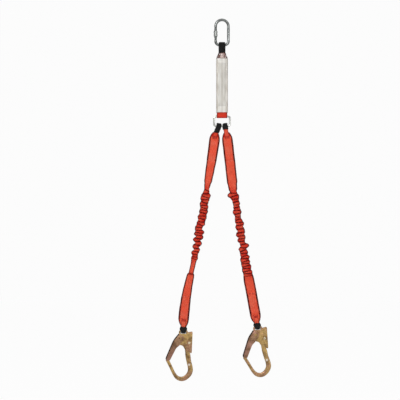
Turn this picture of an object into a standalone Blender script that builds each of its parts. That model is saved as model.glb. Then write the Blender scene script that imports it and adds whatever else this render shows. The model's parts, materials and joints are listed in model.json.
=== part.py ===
"""Twin shock-absorbing lanyard, hanging from its karabiner.

Metres, +Z up, Y into the picture. The origin is the bearing point inside the
karabiner's crown. The webbing lies in the XZ plane, and each piece is one object.
"""

import bpy
import bmesh
import math
from mathutils import Matrix, Vector

# Fits and small parts
GAP = 0.0003             # between pieces that touch
RUNNING = 0.0008         # each side of a piece that swings between cheeks
PIN_RADIUS = 0.003       # hook rivets
RIVET_HEAD = 0.0050
RIVET_HEAD_HEIGHT = 0.0016
RIVET_CHAMFER = 0.0012
RIVET_RIM = 0.0005

# Karabiner
KARABINER_LENGTH = 0.112
KARABINER_WIDTH = 0.062
WIRE = 0.011
FOOT_CORNER = 0.016
GATE_DIAMETER = 0.011
NOSE_DROP = 0.0025       # from the crown's springing down to where gate and nose meet
PIVOT_RISE = 0.0075      # from the foot corner's springing up to the gate's pivot
BARREL_RISE = 0.0060     # from the pivot up to the lower shoulder of the gate's barrel
TONGUE = 0.0040          # blades of the body inside the gate's forks
FORK_DEPTH = 0.0100
LATCH_PIN_RADIUS = 0.0015
SLEEVE_OUTER = 0.0158
SLEEVE_BORE = 0.0118
SLEEVE_LENGTH = 0.0220
SLEEVE_RISE = 0.0050     # from that shoulder up to the sleeve
KNURL_FLUTES = 15
FLUTE_DEPTH = 0.0003
KNURL_BAND = 0.0085
KNURL_CHAMFER = 0.0012
WAIST_DEPTH = 0.0009
WAIST_SLOPE = 0.0010
BLADE_INSET = 0.0005        # blades and knuckle stay inside the round of the wire
KNUCKLE_INSET = 0.0003
BLADE_ROOT = 0.0030         # how far a blade runs into the wire
BLADE_CHAMFER = 0.0010
NOSE_ROOM = 0.0005          # under the nose, and round the latch pin
LATCH_DROP = 0.0060
GATE_RIVET_RADIUS = 0.0020
BARREL_CHAMFER = 0.0006
GATE_SPRING_LENGTH = 0.0120
GATE_SPRING_BORE = 0.0026
GATE_SPRING_RADIUS = 0.0017
GATE_SPRING_WIRE = 0.00045
PLUNGER_RADIUS = 0.0022
PLUNGER_INSIDE = 0.0030

# Webbing
WEB_THICKNESS = 0.0026
LAP_THICKNESS = 0.0030
WEAR_WALL = 0.0009
STRAP_WIDTH = 0.043
SEWN_THICKNESS = 0.0056
LOOP_WIDTH = 0.0220
TOP_LOOP_WIDTH = 0.0260

# Energy absorber
PACK_TOP = -0.1485
PACK_BOTTOM = -0.3645
PACK_WIDTH = 0.0470
PACK_THICKNESS = 0.0240
FILM = 0.0008
NECK_TOP = -0.1270
FILM_OVERLAP = 0.0015       # of the film's neck under the wear sleeve's end
FILM_FOLD = 0.0030          # either side of each end of the pack's full size
NECK_LENGTH = 0.0060
FILM_NECK = ((0.62, 0.66), (0.70, 0.70), (0.93, 0.92))    # shares of width and thickness
FILM_FOOT = (0.98, 0.97)
STACK_TOP_ROOM = 0.0160     # from the pack's ends to the folded webbing
STACK_FOOT_ROOM = 0.0200
STACK_SIDE_ROOM = 0.0050
FOLD_ROOM = 0.0009          # between the layers
LABEL_WIDTH = 0.0300
LABEL_ROOM = 0.0040
TOP_LAP = 0.0040            # the wear sleeve's end lies this far above the lap
TOP_LOOP_ROOM = 0.0010
TOP_ARM_Y = 0.0040          # half the distance between the top loop's arms at the neck
ARM_ROOM = 0.0020
LABEL_THICKNESS = 0.0005
TEAR_FOLDS = 5
PACK_SQUARENESS = 0.42   # 1 is an ellipse, 0 a rectangle
BOTTOM_LOOP_WIDTH = 0.0420

# Link between the absorber and the legs
RING_WIDTH = 0.0715
RING_HEIGHT = 0.0465
RING_BAR = 0.0080
RING_CORNER = 0.0080
RING_TOP_Z = -0.3805

# Legs: where each strap starts and ends, read from the photograph
LEG_START = {"left": (-0.0275, -0.4570), "right": (0.0195, -0.4570)}
LEG_EYE = {"left": (-0.1544, -1.2384), "right": (0.1420, -1.2228)}
HOOK_TILT = {"left": 0.0, "right": math.radians(-6.0)}
GATHER_FROM = {"left": 0.215, "right": 0.226}
GATHER_TO = {"left": 0.505, "right": 0.565}
BOW = {"left": ((0.0, 0.0), (0.13, 0.002), (0.35, 0.0), (0.62, -0.003), (0.80, -0.0105),
                (0.93, -0.0075), (1.0, 0.0)),
       "right": ((0.0, 0.0), (0.13, -0.004), (0.33, -0.011), (0.60, -0.008), (0.80, -0.003),
                 (1.0, 0.0))}
UPPER_TAIL = 0.106       # sewn-back end of each strap, from its lap
LOWER_TAIL = 0.098
TAPER = ((-0.0120, 0.0170), (-0.0100, 0.0220), (0.0, 0.0310), (0.0090, 0.0405))   # place, width
SHOULDER = 0.0185        # from the lap's centre to the strap's full width
STEP = 0.0005            # over which a sewn end's thickness starts or stops
# Place from the gathers, and width, of each strap as it narrows into them
UPPER_NECKING = {
    "left": ((-0.1300, 0.0405), (-0.0800, 0.0365), (-0.0330, 0.0320), (-0.0170, 0.0255), (0.0, 0.0200)),
    "right": ((-0.0400, 0.0420), (-0.0260, 0.0370), (-0.0110, 0.0350), (0.0, 0.0260)),
}
LOWER_NECKING = {
    "left": ((0.0, 0.0225), (0.0200, 0.0190), (0.0520, 0.0230), (0.0660, 0.0320), (0.1030, 0.0330),
             (0.1270, 0.0365), (0.1750, 0.0405)),
    "right": ((0.0, 0.0370), (0.0080, 0.0410), (0.0200, 0.0430)),
}
LOOP_LAP = 0.013         # the loop's arms lie on the strap this far past the lap's centre
SLEEVE_STOP = 0.014      # the wear sleeve ends this far short of the lap's centre
HOOK_LAP = 0.036         # from the hook's bow to the lap's centre
# Place down the leg, and reach to the left and right of its line, at each turn of the folds
RUFFLES = {
    "left": ((0.228, 0.011, 0.012), (0.244, 0.016, 0.0205), (0.255, 0.0185, 0.018),
             (0.266, 0.0145, 0.0165), (0.278, 0.0175, 0.016), (0.289, 0.013, 0.0195),
             (0.298, 0.013, 0.0175), (0.307, 0.014, 0.0215), (0.320, 0.0125, 0.0185),
             (0.333, 0.016, 0.020), (0.344, 0.0125, 0.0165), (0.357, 0.016, 0.0185),
             (0.367, 0.0155, 0.012), (0.379, 0.020, 0.009), (0.390, 0.014, 0.021),
             (0.400, 0.0195, 0.016), (0.411, 0.008, 0.0205), (0.424, 0.019, 0.012),
             (0.437, 0.0075, 0.0195), (0.452, 0.018, 0.0095), (0.464, 0.0075, 0.0165),
             (0.476, 0.0175, 0.011), (0.488, 0.011, 0.013), (0.497, 0.014, 0.0135)),
    "right": ((0.238, 0.0255, 0.017), (0.250, 0.014, 0.0215), (0.263, 0.0075, 0.0165),
              (0.275, 0.009, 0.0205), (0.285, 0.009, 0.015), (0.296, 0.0075, 0.017),
              (0.309, 0.014, 0.0215), (0.323, 0.008, 0.016), (0.335, 0.010, 0.0135),
              (0.345, 0.0125, 0.018), (0.357, 0.0085, 0.022), (0.370, 0.015, 0.016),
              (0.385, 0.0075, 0.0215), (0.400, 0.018, 0.017), (0.412, 0.0085, 0.0185),
              (0.422, 0.0165, 0.014), (0.434, 0.008, 0.014), (0.447, 0.0075, 0.0275),
              (0.459, 0.0175, 0.0135), (0.471, 0.0155, 0.0165), (0.482, 0.016, 0.014),
              (0.493, 0.016, 0.0205), (0.503, 0.020, 0.017), (0.513, 0.0175, 0.0185),
              (0.523, 0.0185, 0.017), (0.533, 0.018, 0.019), (0.543, 0.020, 0.0165),
              (0.553, 0.018, 0.019)),
}
RUFFLE_DEPTH = 0.0160
RUFFLE_DEPTH_SWING = 0.0022
LOOP_SPACING = 0.0236    # between the two loops' middles on the link
CORE_WIDTH = 0.0100
CORE_THICKNESS = 0.0050
CORE_ROOM = 0.0006       # each side of the elastic in its sleeve

# Scaffold hook, in its own plane: u to the right, v up, from the bow's centre
BOW_WIRE = 0.0080
FORGING = 0.0125
HEAD = 0.0130
GATE_PIVOT = (-0.0110, -0.0300)
LEVER_PIVOT = (0.0235, -0.0470)
CHEEK = 0.0020
CHEEK_ROOM = 0.0004

# Colours: base colour, roughness, metallic
FINISHES = {
    "zinc_steel": ((0.55, 0.56, 0.56), 0.30, 1.0),
    "gold_zinc": ((0.45, 0.33, 0.13), 0.36, 1.0),
    "brown_zinc": ((0.30, 0.19, 0.10), 0.42, 1.0),
    "spring_steel": ((0.40, 0.40, 0.41), 0.35, 1.0),
    "red_webbing": ((0.80, 0.09, 0.04), 0.80, 0.0),
    "black_webbing": ((0.012, 0.012, 0.013), 0.80, 0.0),
    "elastic": ((0.75, 0.73, 0.68), 0.85, 0.0),
    "clear_film": ((0.82, 0.82, 0.80), 0.20, 0.0),
    "label_stock": ((0.86, 0.85, 0.80), 0.55, 0.0),
}

for old in list(bpy.data.objects):
    bpy.data.objects.remove(old, do_unlink=True)

parts = bpy.data.collections.new("twin_shock_absorbing_lanyard")
cutters = bpy.data.collections.new("cutters")
bpy.context.scene.collection.children.link(parts)
bpy.context.scene.collection.children.link(cutters)


def finish(name):
    """The material called name, made on first use."""
    found = bpy.data.materials.get(name)
    if found:
        return found
    colour, roughness, metallic = FINISHES[name]
    made = bpy.data.materials.new(name)
    made.use_nodes = True
    shader = made.node_tree.nodes["Principled BSDF"]
    shader.inputs["Base Color"].default_value = (*colour, 1.0)
    shader.inputs["Roughness"].default_value = roughness
    shader.inputs["Metallic"].default_value = metallic
    return made


def add_mesh(name, bm, material=None, parent=None, collection=parts):
    """An object from bm, smooth where its faces nearly agree."""
    bmesh.ops.recalc_face_normals(bm, faces=bm.faces)
    mesh = bpy.data.meshes.new(name)
    bm.to_mesh(mesh)
    bm.free()
    mesh.shade_smooth()
    mesh.set_sharp_from_angle(angle=math.radians(40))
    made = bpy.data.objects.new(name, mesh)
    collection.objects.link(made)
    if material:
        mesh.materials.append(finish(material))
    made.parent = parent
    return made


def empty(name, location, turn=0.0, parent=None):
    """A pivot in the XZ plane, turned about Y."""
    made = bpy.data.objects.new(name, None)
    parts.objects.link(made)
    made.location = location
    made.rotation_euler = (0.0, turn, 0.0)
    made.parent = parent
    return made


def evaluated(source):
    """A plain mesh copy of an object with its modifiers or its curve applied."""
    bpy.context.view_layer.update()
    graph = bpy.context.evaluated_depsgraph_get()
    return bpy.data.meshes.new_from_object(source.evaluated_get(graph), depsgraph=graph)


def made_mesh(source, material=None):
    """Replaces an object by the welded mesh that it evaluates to."""
    name = source.name
    mesh = evaluated(source)
    bm = bmesh.new()
    bm.from_mesh(mesh)
    bmesh.ops.remove_doubles(bm, verts=bm.verts, dist=1e-6)
    matrix = source.matrix_world.copy()
    parent = source.parent
    home = source.users_collection[0]
    bpy.data.objects.remove(source, do_unlink=True)
    bpy.data.meshes.remove(mesh)
    made = add_mesh(name, bm, material, None, home)
    made.parent = parent
    made.matrix_world = matrix
    bpy.context.view_layer.update()
    return made


def cylinder(name, radius, length, centre=(0, 0, 0), axis="Z", sides=24, material=None,
             parent=None, collection=parts, top=None):
    """A solid cylinder or, with another top radius, a cone."""
    bm = bmesh.new()
    bmesh.ops.create_cone(bm, cap_ends=True, segments=sides, radius1=radius,
                          radius2=radius if top is None else top, depth=length)
    if axis == "Y":
        bmesh.ops.rotate(bm, verts=bm.verts, matrix=Matrix.Rotation(math.radians(-90), 3, "X"))
    if axis == "X":
        bmesh.ops.rotate(bm, verts=bm.verts, matrix=Matrix.Rotation(math.radians(90), 3, "Y"))
    bmesh.ops.translate(bm, verts=bm.verts, vec=centre)
    return add_mesh(name, bm, material, parent, collection)


def box(name, low, high, material=None, parent=None, collection=parts):
    """A box between two corners."""
    bm = bmesh.new()
    bmesh.ops.create_cube(bm, size=1.0)
    size = [b - a for a, b in zip(low, high)]
    bmesh.ops.scale(bm, verts=bm.verts, vec=size)
    bmesh.ops.translate(bm, verts=bm.verts, vec=[(a + b) / 2 for a, b in zip(low, high)])
    return add_mesh(name, bm, material, parent, collection)


def plate(name, outline, thickness, material=None, parent=None, collection=parts, offset=0.0):
    """A flat outline in the XZ plane, its thickness centred on Y = offset."""
    curve = bpy.data.curves.new(name, "CURVE")
    curve.dimensions = "2D"
    curve.fill_mode = "BOTH"
    curve.extrude = thickness / 2
    spline = curve.splines.new("POLY")
    spline.points.add(len(outline) - 1)
    for point, (u, v) in zip(spline.points, outline):
        point.co = (u, v, 0.0, 1.0)
    spline.use_cyclic_u = True
    made = bpy.data.objects.new(name, curve)
    collection.objects.link(made)
    made = made_mesh(made, material)
    made.data.transform(Matrix.Rotation(math.radians(90), 4, "X"))
    made.data.transform(Matrix.Translation((0.0, offset, 0.0)))
    made.parent = parent
    return made


def wire(name, points, radius, resolution=2, closed=False, material=None, parent=None,
         collection=parts):
    """A round wire along points."""
    curve = bpy.data.curves.new(name, "CURVE")
    curve.dimensions = "3D"
    curve.bevel_depth = radius
    curve.bevel_resolution = resolution
    curve.use_fill_caps = not closed
    curve.twist_mode = "MINIMUM"
    spline = curve.splines.new("POLY")
    spline.points.add(len(points) - 1)
    for point, place in zip(spline.points, points):
        point.co = (*place, 1.0)
    spline.use_cyclic_u = closed
    made = bpy.data.objects.new(name, curve)
    collection.objects.link(made)
    made = made_mesh(made, material)
    made.parent = parent
    return made


def loft(name, rings, inner=None, material=None, parent=None, collection=parts):
    """A closed solid through rings of equal count. With inner rings it is a tube."""
    bm = bmesh.new()

    def skin(some):
        rows = [[bm.verts.new(p) for p in ring] for ring in some]
        for one, two in zip(rows, rows[1:]):
            for i in range(len(one)):
                j = (i + 1) % len(one)
                bm.faces.new((one[i], one[j], two[j], two[i]))
        return rows

    outer = skin(rings)
    if inner is None:
        bm.faces.new(outer[0])
        bm.faces.new(outer[-1])
    else:
        hollow = skin(inner)
        for end in (0, -1):
            for i in range(len(outer[end])):
                j = (i + 1) % len(outer[end])
                bm.faces.new((outer[end][i], outer[end][j], hollow[end][j], hollow[end][i]))
    return add_mesh(name, bm, material, parent, collection)


def boolean(target, tool, operation="DIFFERENCE"):
    """Cuts or joins target with tool, which is modelled in the target's own frame."""
    tool.parent = target.parent
    for home in list(tool.users_collection):
        home.objects.unlink(tool)
    cutters.objects.link(tool)
    tool.hide_render = True
    tool.display_type = "WIRE"
    step = target.modifiers.new(tool.name, "BOOLEAN")
    step.operation = operation
    step.solver = "EXACT"
    step.object = tool
    return target


def arc(centre, radius, start, end, steps):
    """Points along an arc in a plane, angles in degrees, both ends included."""
    return [(centre[0] + radius * math.cos(math.radians(start + (end - start) * i / steps)),
             centre[1] + radius * math.sin(math.radians(start + (end - start) * i / steps)))
            for i in range(steps + 1)]


def curve_value(points, t):
    """A smooth value through (t, value) pairs."""
    ts = [p[0] for p in points]
    vs = [p[1] for p in points]
    i = max(0, min(len(ts) - 2, sum(1 for a in ts[1:-1] if t >= a)))
    span = ts[i + 1] - ts[i]
    x = (t - ts[i]) / span

    def slope(k):
        low, high = max(k - 1, 0), min(k + 1, len(ts) - 1)
        return (vs[high] - vs[low]) / (ts[high] - ts[low])

    a, b = vs[i], vs[i + 1]
    m, n = slope(i) * span, slope(i + 1) * span
    return (a * (2 * x ** 3 - 3 * x * x + 1) + m * (x ** 3 - 2 * x * x + x)
            + b * (3 * x * x - 2 * x ** 3) + n * (x ** 3 - x * x))


def in_plane(points, y=0.0):
    """Points of the XZ plane as 3D points."""
    return [(u, y, v) for u, v in points]


def flat_section(width, thickness, corner=0.35):
    """Eight points of a webbing's section: across, and through its thickness."""
    a, b = width / 2, thickness / 2
    c = corner * thickness
    return [(-a, -b + c), (-a + c, -b), (a - c, -b), (a, -b + c),
            (a, b - c), (a - c, b), (-a + c, b), (-a, b - c)]


def turned(name, profile, steps=24, material=None, parent=None, collection=parts):
    """A solid turned about Z from (radius, z) points, top to bottom."""
    bm = bmesh.new()
    verts = [bm.verts.new((r, 0.0, z)) for r, z in profile]
    for a, b in zip(verts, verts[1:]):
        bm.edges.new((a, b))
    mesh = bpy.data.meshes.new(name)
    bm.to_mesh(mesh)
    bm.free()
    made = bpy.data.objects.new(name, mesh)
    collection.objects.link(made)
    screw = made.modifiers.new("turn", "SCREW")
    screw.axis = "Z"
    screw.angle = math.tau
    screw.steps = steps
    screw.render_steps = steps
    screw.use_merge_vertices = True
    screw.merge_threshold = 0.00001
    made = made_mesh(made, material)
    made.parent = parent
    return made


def helix(radius, length, turns, per_turn=9):
    """Points of a coil along Z, starting at z = 0."""
    count = int(turns * per_turn)
    return [(radius * math.cos(math.tau * i / per_turn), radius * math.sin(math.tau * i / per_turn),
             length * i / count) for i in range(count + 1)]


# Karabiner
half_width = (KARABINER_WIDTH - WIRE) / 2
crown_z = WIRE / 2
foot_z = crown_z - (KARABINER_LENGTH - WIRE)
gate_x = -half_width
gate_top = crown_z - half_width - NOSE_DROP
gate_pivot_z = foot_z + FOOT_CORNER + PIVOT_RISE
gate_foot = gate_pivot_z + BARREL_RISE
sleeve_top = gate_foot + SLEEVE_RISE + SLEEVE_LENGTH
fork_slot = TONGUE + 2 * GAP
tongue_half = WIRE / 2 - BLADE_INSET
knuckle = WIRE / 2 - KNUCKLE_INSET
foot_shoulder = gate_pivot_z - knuckle - GAP
gate_shoulder = gate_top - NOSE_ROOM
latch_z = gate_top - LATCH_DROP


def karabiner_body():
    """Bent wire with a blade at each end for the gate's forks."""
    foot_x = half_width - FOOT_CORNER
    path = [(gate_x, gate_top)]
    path += arc((0.0, crown_z - half_width), half_width, 180, 0, 16)
    path += arc((foot_x, foot_z + FOOT_CORNER), FOOT_CORNER, 0, -90, 7)
    path += arc((-foot_x, foot_z + FOOT_CORNER), FOOT_CORNER, -90, -180, 7)
    path.append((gate_x, foot_shoulder))
    body = wire("karabiner_body", in_plane(path), WIRE / 2, 3, material="zinc_steel")

    left, right = gate_x - tongue_half, gate_x + tongue_half
    root, tip = gate_top + BLADE_ROOT, gate_top - FORK_DEPTH
    nose = [(left, root), (right, root), (right, tip + BLADE_CHAMFER), (right - BLADE_CHAMFER, tip),
            (left + BLADE_CHAMFER, tip), (left, tip + BLADE_CHAMFER)]
    boolean(body, plate("nose_blade", nose[::-1], TONGUE), "UNION")
    hinge = [(left, foot_shoulder - BLADE_ROOT)]
    hinge += arc((gate_x, gate_pivot_z), tongue_half, 180, 0, 12)
    hinge.append((right, foot_shoulder - BLADE_ROOT))
    boolean(body, plate("hinge_blade", hinge, TONGUE), "UNION")

    notch = LATCH_PIN_RADIUS + NOSE_ROOM
    slot = arc((gate_x, latch_z), notch, 90, 270, 8)
    slot += [(gate_x + WIRE, latch_z - notch), (gate_x + WIRE, latch_z + notch)]
    boolean(body, plate("latch_notch", slot, 3 * TONGUE))
    boolean(body, cylinder("hinge_bore", GATE_RIVET_RADIUS + GAP, 3 * WIRE, (gate_x, 0, gate_pivot_z), "Y", 16))
    return made_mesh(body, "zinc_steel")


def karabiner_gate(pivot):
    """Turned barrel, forked at both ends and bored for its spring."""
    top = gate_shoulder - gate_pivot_z
    radius = GATE_DIAMETER / 2
    slot_top = gate_foot - gate_pivot_z
    profile = [(0.0, top), (radius - BARREL_CHAMFER, top), (radius, top - BARREL_CHAMFER),
               (radius, 0.0), (0.0, 0.0)]
    gate = turned("karabiner_gate", profile, 24, "zinc_steel", pivot)
    boolean(gate, cylinder("gate_knuckle", knuckle, 2 * tongue_half, (0, 0, 0), "Y", 24), "UNION")
    gate = made_mesh(gate, "zinc_steel")
    half = fork_slot / 2
    boolean(gate, box("lower_fork", (-WIRE, -half, -WIRE), (WIRE, half, slot_top)))
    fork_floor = gate_top - FORK_DEPTH - RUNNING - gate_pivot_z
    boolean(gate, box("upper_fork", (-WIRE, -half, fork_floor), (WIRE, half, top + WIRE)))
    plunger_top = slot_top + PLUNGER_INSIDE
    bore_top = plunger_top + GATE_SPRING_LENGTH
    boolean(gate, cylinder("spring_bore", GATE_SPRING_BORE, bore_top, (0, 0, bore_top / 2), "Z", 16))
    boolean(gate, cylinder("pivot_bore", GATE_RIVET_RADIUS + GAP, 3 * WIRE, (0, 0, 0), "Y", 16))
    boolean(gate, cylinder("latch_bore", LATCH_PIN_RADIUS + GAP, 3 * WIRE,
                           (0, 0, latch_z - gate_pivot_z), "Y", 12))
    gate = made_mesh(gate, "zinc_steel")

    cylinder("karabiner_latch_pin", LATCH_PIN_RADIUS, GATE_DIAMETER - 2 * BARREL_CHAMFER,
             (0, 0, latch_z - gate_pivot_z), "Y", 12, "zinc_steel", pivot)
    plunger_foot = tongue_half + GAP
    cylinder("karabiner_gate_plunger", PLUNGER_RADIUS, plunger_top - plunger_foot,
             (0, 0, (plunger_top + plunger_foot) / 2), "Z", 12, "spring_steel", pivot)
    coil_start = plunger_top + GAP + GATE_SPRING_WIRE
    coil = helix(GATE_SPRING_RADIUS, bore_top - coil_start - GAP - GATE_SPRING_WIRE, 5, 8)
    wire("karabiner_gate_spring", [(x, y, z + coil_start) for x, y, z in coil], GATE_SPRING_WIRE, 1,
         material="spring_steel", parent=pivot)


def screw_sleeve(pivot):
    """Knurled locking sleeve with a waist between two bands."""
    top = sleeve_top - gate_pivot_z
    foot = top - SLEEVE_LENGTH
    outer = SLEEVE_OUTER / 2
    waist = outer - WAIST_DEPTH
    band, slope = KNURL_BAND, KNURL_BAND + WAIST_SLOPE
    stations = [(foot, outer - KNURL_CHAMFER, 0), (foot + KNURL_CHAMFER, outer, FLUTE_DEPTH),
                (foot + band, outer, FLUTE_DEPTH), (foot + slope, waist, 0), (top - slope, waist, 0),
                (top - band, outer, FLUTE_DEPTH), (top - KNURL_CHAMFER, outer, FLUTE_DEPTH),
                (top, outer - KNURL_CHAMFER, 0)]

    def ring(z, radius, depth, count=2 * KNURL_FLUTES):
        return [((radius - depth * (i % 2)) * math.cos(math.tau * i / count),
                 (radius - depth * (i % 2)) * math.sin(math.tau * i / count), z)
                for i in range(count)]

    loft("karabiner_screw_sleeve", [ring(*s) for s in stations],
         [ring(foot, SLEEVE_BORE / 2, 0), ring(top, SLEEVE_BORE / 2, 0)], "zinc_steel", pivot)


gate_pivot = empty("karabiner_gate_pivot", (gate_x, 0, gate_pivot_z))
karabiner_body()
karabiner_gate(gate_pivot)
screw_sleeve(gate_pivot)
cylinder("karabiner_gate_rivet", GATE_RIVET_RADIUS, 2 * tongue_half, (gate_x, 0, gate_pivot_z), "Y", 16,
         "zinc_steel")


def hang(piece, pivot):
    """Gives a piece that was modelled in place the pivot as its parent and origin."""
    bpy.context.view_layer.update()
    piece.data.transform(pivot.matrix_world.inverted())
    piece.parent = pivot
    return piece


def webbing_loop(bar, bar_turn, lap, leg_turn, radius, lap_y, tail, stop, hang_down=True):
    """Frames of a loop round a bar along X, from its front arm over the bar to the back arm.

    Each frame is (centre, across, outward). bar and lap are (x, z), stop is where the
    wear sleeve ends, measured back from the lap, and tail how far the arms run past it.
    """
    sign = -1.0 if hang_down else 1.0
    bar_across = Vector((math.cos(bar_turn), 0.0, -math.sin(bar_turn)))
    bar_down = sign * Vector((math.sin(bar_turn), 0.0, math.cos(bar_turn)))
    leg_across = Vector((math.cos(leg_turn), 0.0, -math.sin(leg_turn)))
    leg_down = sign * Vector((math.sin(leg_turn), 0.0, math.cos(leg_turn)))
    start = Vector((bar[0], 0.0, bar[1]))
    end = Vector((lap[0], 0.0, lap[1]))
    reach = (end - start).length
    frames = []
    for t, extra in ((1.0, tail), (1.0, 0.0), (1.0 - stop / reach, 0.0), (0.3, 0.0)):
        centre = start.lerp(end, t) + leg_down * extra
        centre.y = -(radius + (lap_y - radius) * t)
        frames.append((centre, bar_across.lerp(leg_across, t).normalized()))
    for along, height in arc((0.0, 0.0), radius, 180, 90, 5):
        frames.append((start + Vector((0.0, along, 0.0)) - bar_down * height, bar_across))
    back = [(Vector((c.x, -c.y, c.z)), a) for c, a in frames[-2::-1]]
    frames += back
    result = []
    for i, (centre, across) in enumerate(frames):
        before = frames[max(i - 1, 0)][0]
        after = frames[min(i + 1, len(frames) - 1)][0]
        tangent = (after - before).normalized()
        tangent -= across * across.dot(tangent)
        result.append((centre, across, tangent.cross(across).normalized()))
    return result


def band_rings(frames, width, thickness):
    """A webbing section at each frame."""
    return [[c + a * u + n * v for u, v in flat_section(width, thickness)] for c, a, n in frames]


def wear_sleeve(name, frames, width, pivot):
    """A tubular sleeve round a loop, and the webbing's width inside it."""
    inside_width = width - 2 * WEAR_WALL
    inside_thickness = WEB_THICKNESS + 2 * GAP
    covered = frames[2:-2]
    made = loft(name, band_rings(covered, width, inside_thickness + 2 * WEAR_WALL),
                band_rings(covered, inside_width, inside_thickness), "black_webbing")
    return hang(made, pivot)


def looped_webbing(name, frames, width, pivot):
    """The webbing of a loop."""
    return hang(loft(name, band_rings(frames, width, WEB_THICKNESS), None, "red_webbing"), pivot)


sleeve_half = WEB_THICKNESS / 2 + GAP + WEAR_WALL
webbing_width = LOOP_WIDTH - 2 * (WEAR_WALL + GAP)
lap_y = LAP_THICKNESS / 2 + GAP + WEB_THICKNESS / 2

# Energy absorber
absorber_pivot = empty("absorber_pivot", (0, 0, foot_z))
stack_top = PACK_TOP - STACK_TOP_ROOM
stack_foot = PACK_BOTTOM + STACK_FOOT_ROOM


def pack_ring(z, width, thickness, count=16):
    """A flattened round section of the pack."""
    ring = []
    for i in range(count):
        angle = math.tau * (i + 0.5) / count
        c, s = math.cos(angle), math.sin(angle)
        ring.append((width / 2 * math.copysign(abs(c) ** PACK_SQUARENESS, c),
                     thickness / 2 * math.copysign(abs(s) ** PACK_SQUARENESS, s), z))
    return ring


def shrink_cover():
    """Film shrunk over the pack, drawn in at the neck."""
    neck = NECK_TOP - FILM_OVERLAP
    places = (neck, neck - NECK_LENGTH, PACK_TOP + FILM_FOLD)
    stations = [(z, *shares) for z, shares in zip(places, FILM_NECK)]
    stations += [(PACK_TOP - FILM_FOLD, 1.0, 1.0), (PACK_BOTTOM + FILM_FOLD, 1.0, 1.0),
                 (PACK_BOTTOM, *FILM_FOOT)]
    outer = [pack_ring(z, PACK_WIDTH * a, PACK_THICKNESS * b) for z, a, b in stations]
    inner = [pack_ring(z, PACK_WIDTH * a - 2 * FILM, PACK_THICKNESS * b - 2 * FILM)
             for z, a, b in stations]
    hang(loft("absorber_shrink_cover", outer, inner, "clear_film"), absorber_pivot)


def tear_webbing():
    """One strip folded to and fro, layer on layer."""
    pitch = WEB_THICKNESS + FOLD_ROOM
    first = -pitch * (TEAR_FOLDS - 1) / 2
    bend = pitch / 2
    path = []
    for layer in range(TEAR_FOLDS):
        y = first + layer * pitch
        down = layer % 2 == 0
        ends = (stack_top - bend, stack_foot + bend) if down else (stack_foot + bend, stack_top - bend)
        if layer == 0:
            path.append((y, stack_top))
        path += [(y, ends[0]), (y, ends[1])]
        if layer < TEAR_FOLDS - 1:
            side = -1 if down else 1
            path += [(y + bend - bend * math.cos(a), ends[1] + side * bend * math.sin(a))
                     for a in (math.pi / 4, math.pi / 2, 3 * math.pi / 4)]
    width = PACK_WIDTH - 2 * STACK_SIDE_ROOM
    rings = []
    for i, (y, z) in enumerate(path):
        before, after = path[max(i - 1, 0)], path[min(i + 1, len(path) - 1)]
        tangent = Vector((0.0, after[0] - before[0], after[1] - before[1])).normalized()
        normal = tangent.cross(Vector((1.0, 0.0, 0.0)))
        centre = Vector((0.0, y, z))
        rings.append([centre + Vector((u, 0, 0)) + normal * v
                      for u, v in ((-width / 2, -WEB_THICKNESS / 2), (width / 2, -WEB_THICKNESS / 2),
                                   (width / 2, WEB_THICKNESS / 2), (-width / 2, WEB_THICKNESS / 2))])
    hang(loft("absorber_tear_webbing", rings, None, "red_webbing"), absorber_pivot)
    return first - WEB_THICKNESS / 2


stack_front = tear_webbing()
shrink_cover()
label_back = stack_front - GAP
hang(box("identification_label",
         (-LABEL_WIDTH / 2, label_back - LABEL_THICKNESS, stack_foot + LABEL_ROOM),
         (LABEL_WIDTH / 2, label_back, stack_top - LABEL_ROOM), "label_stock"), absorber_pivot)

top_radius = WIRE / 2 + TOP_LOOP_ROOM + sleeve_half
top_lap = NECK_TOP - TOP_LAP
top_frames = webbing_loop((0.0, foot_z), 0.0, (0.0, top_lap), 0.0, top_radius, TOP_ARM_Y,
                          top_lap - stack_top - ARM_ROOM, TOP_LAP)
wear_sleeve("top_loop_wear_sleeve", top_frames, TOP_LOOP_WIDTH, absorber_pivot)
looped_webbing("absorber_top_loop", top_frames, TOP_LOOP_WIDTH - 2 * (WEAR_WALL + GAP), absorber_pivot)

# Link
ring_bottom_z = RING_TOP_Z - (RING_HEIGHT - RING_BAR)
ring_pivot = empty("ring_pivot", (0, 0, RING_TOP_Z - foot_z), 0.0, absorber_pivot)
bottom_radius = RING_BAR / 2 + GAP + WEB_THICKNESS / 2
bottom_frames = webbing_loop((0.0, RING_TOP_Z), 0.0, (0.0, PACK_BOTTOM), 0.0, bottom_radius,
                             bottom_radius, STACK_FOOT_ROOM - ARM_ROOM, ARM_ROOM, hang_down=False)
looped_webbing("absorber_bottom_loop", bottom_frames, BOTTOM_LOOP_WIDTH, absorber_pivot)


def connector_ring():
    """Rounded rectangular link of round bar."""
    half = (RING_WIDTH - RING_BAR) / 2 - RING_CORNER
    low, high = ring_bottom_z + RING_CORNER, RING_TOP_Z - RING_CORNER
    path = []
    for x, z, start in ((half, high, 90), (half, low, 0), (-half, low, -90), (-half, high, -180)):
        path += arc((x, z), RING_CORNER, start, start - 90, 5)
    hang(wire("connector_ring", in_plane(path), RING_BAR / 2, 3, True, "zinc_steel"), ring_pivot)


connector_ring()


# Scaffold hooks. All outlines are in the hook's plane, in metres from the bow's centre.
cheek_inner = HEAD / 2 + CHEEK_ROOM
cheek_outer = cheek_inner + CHEEK

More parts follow.
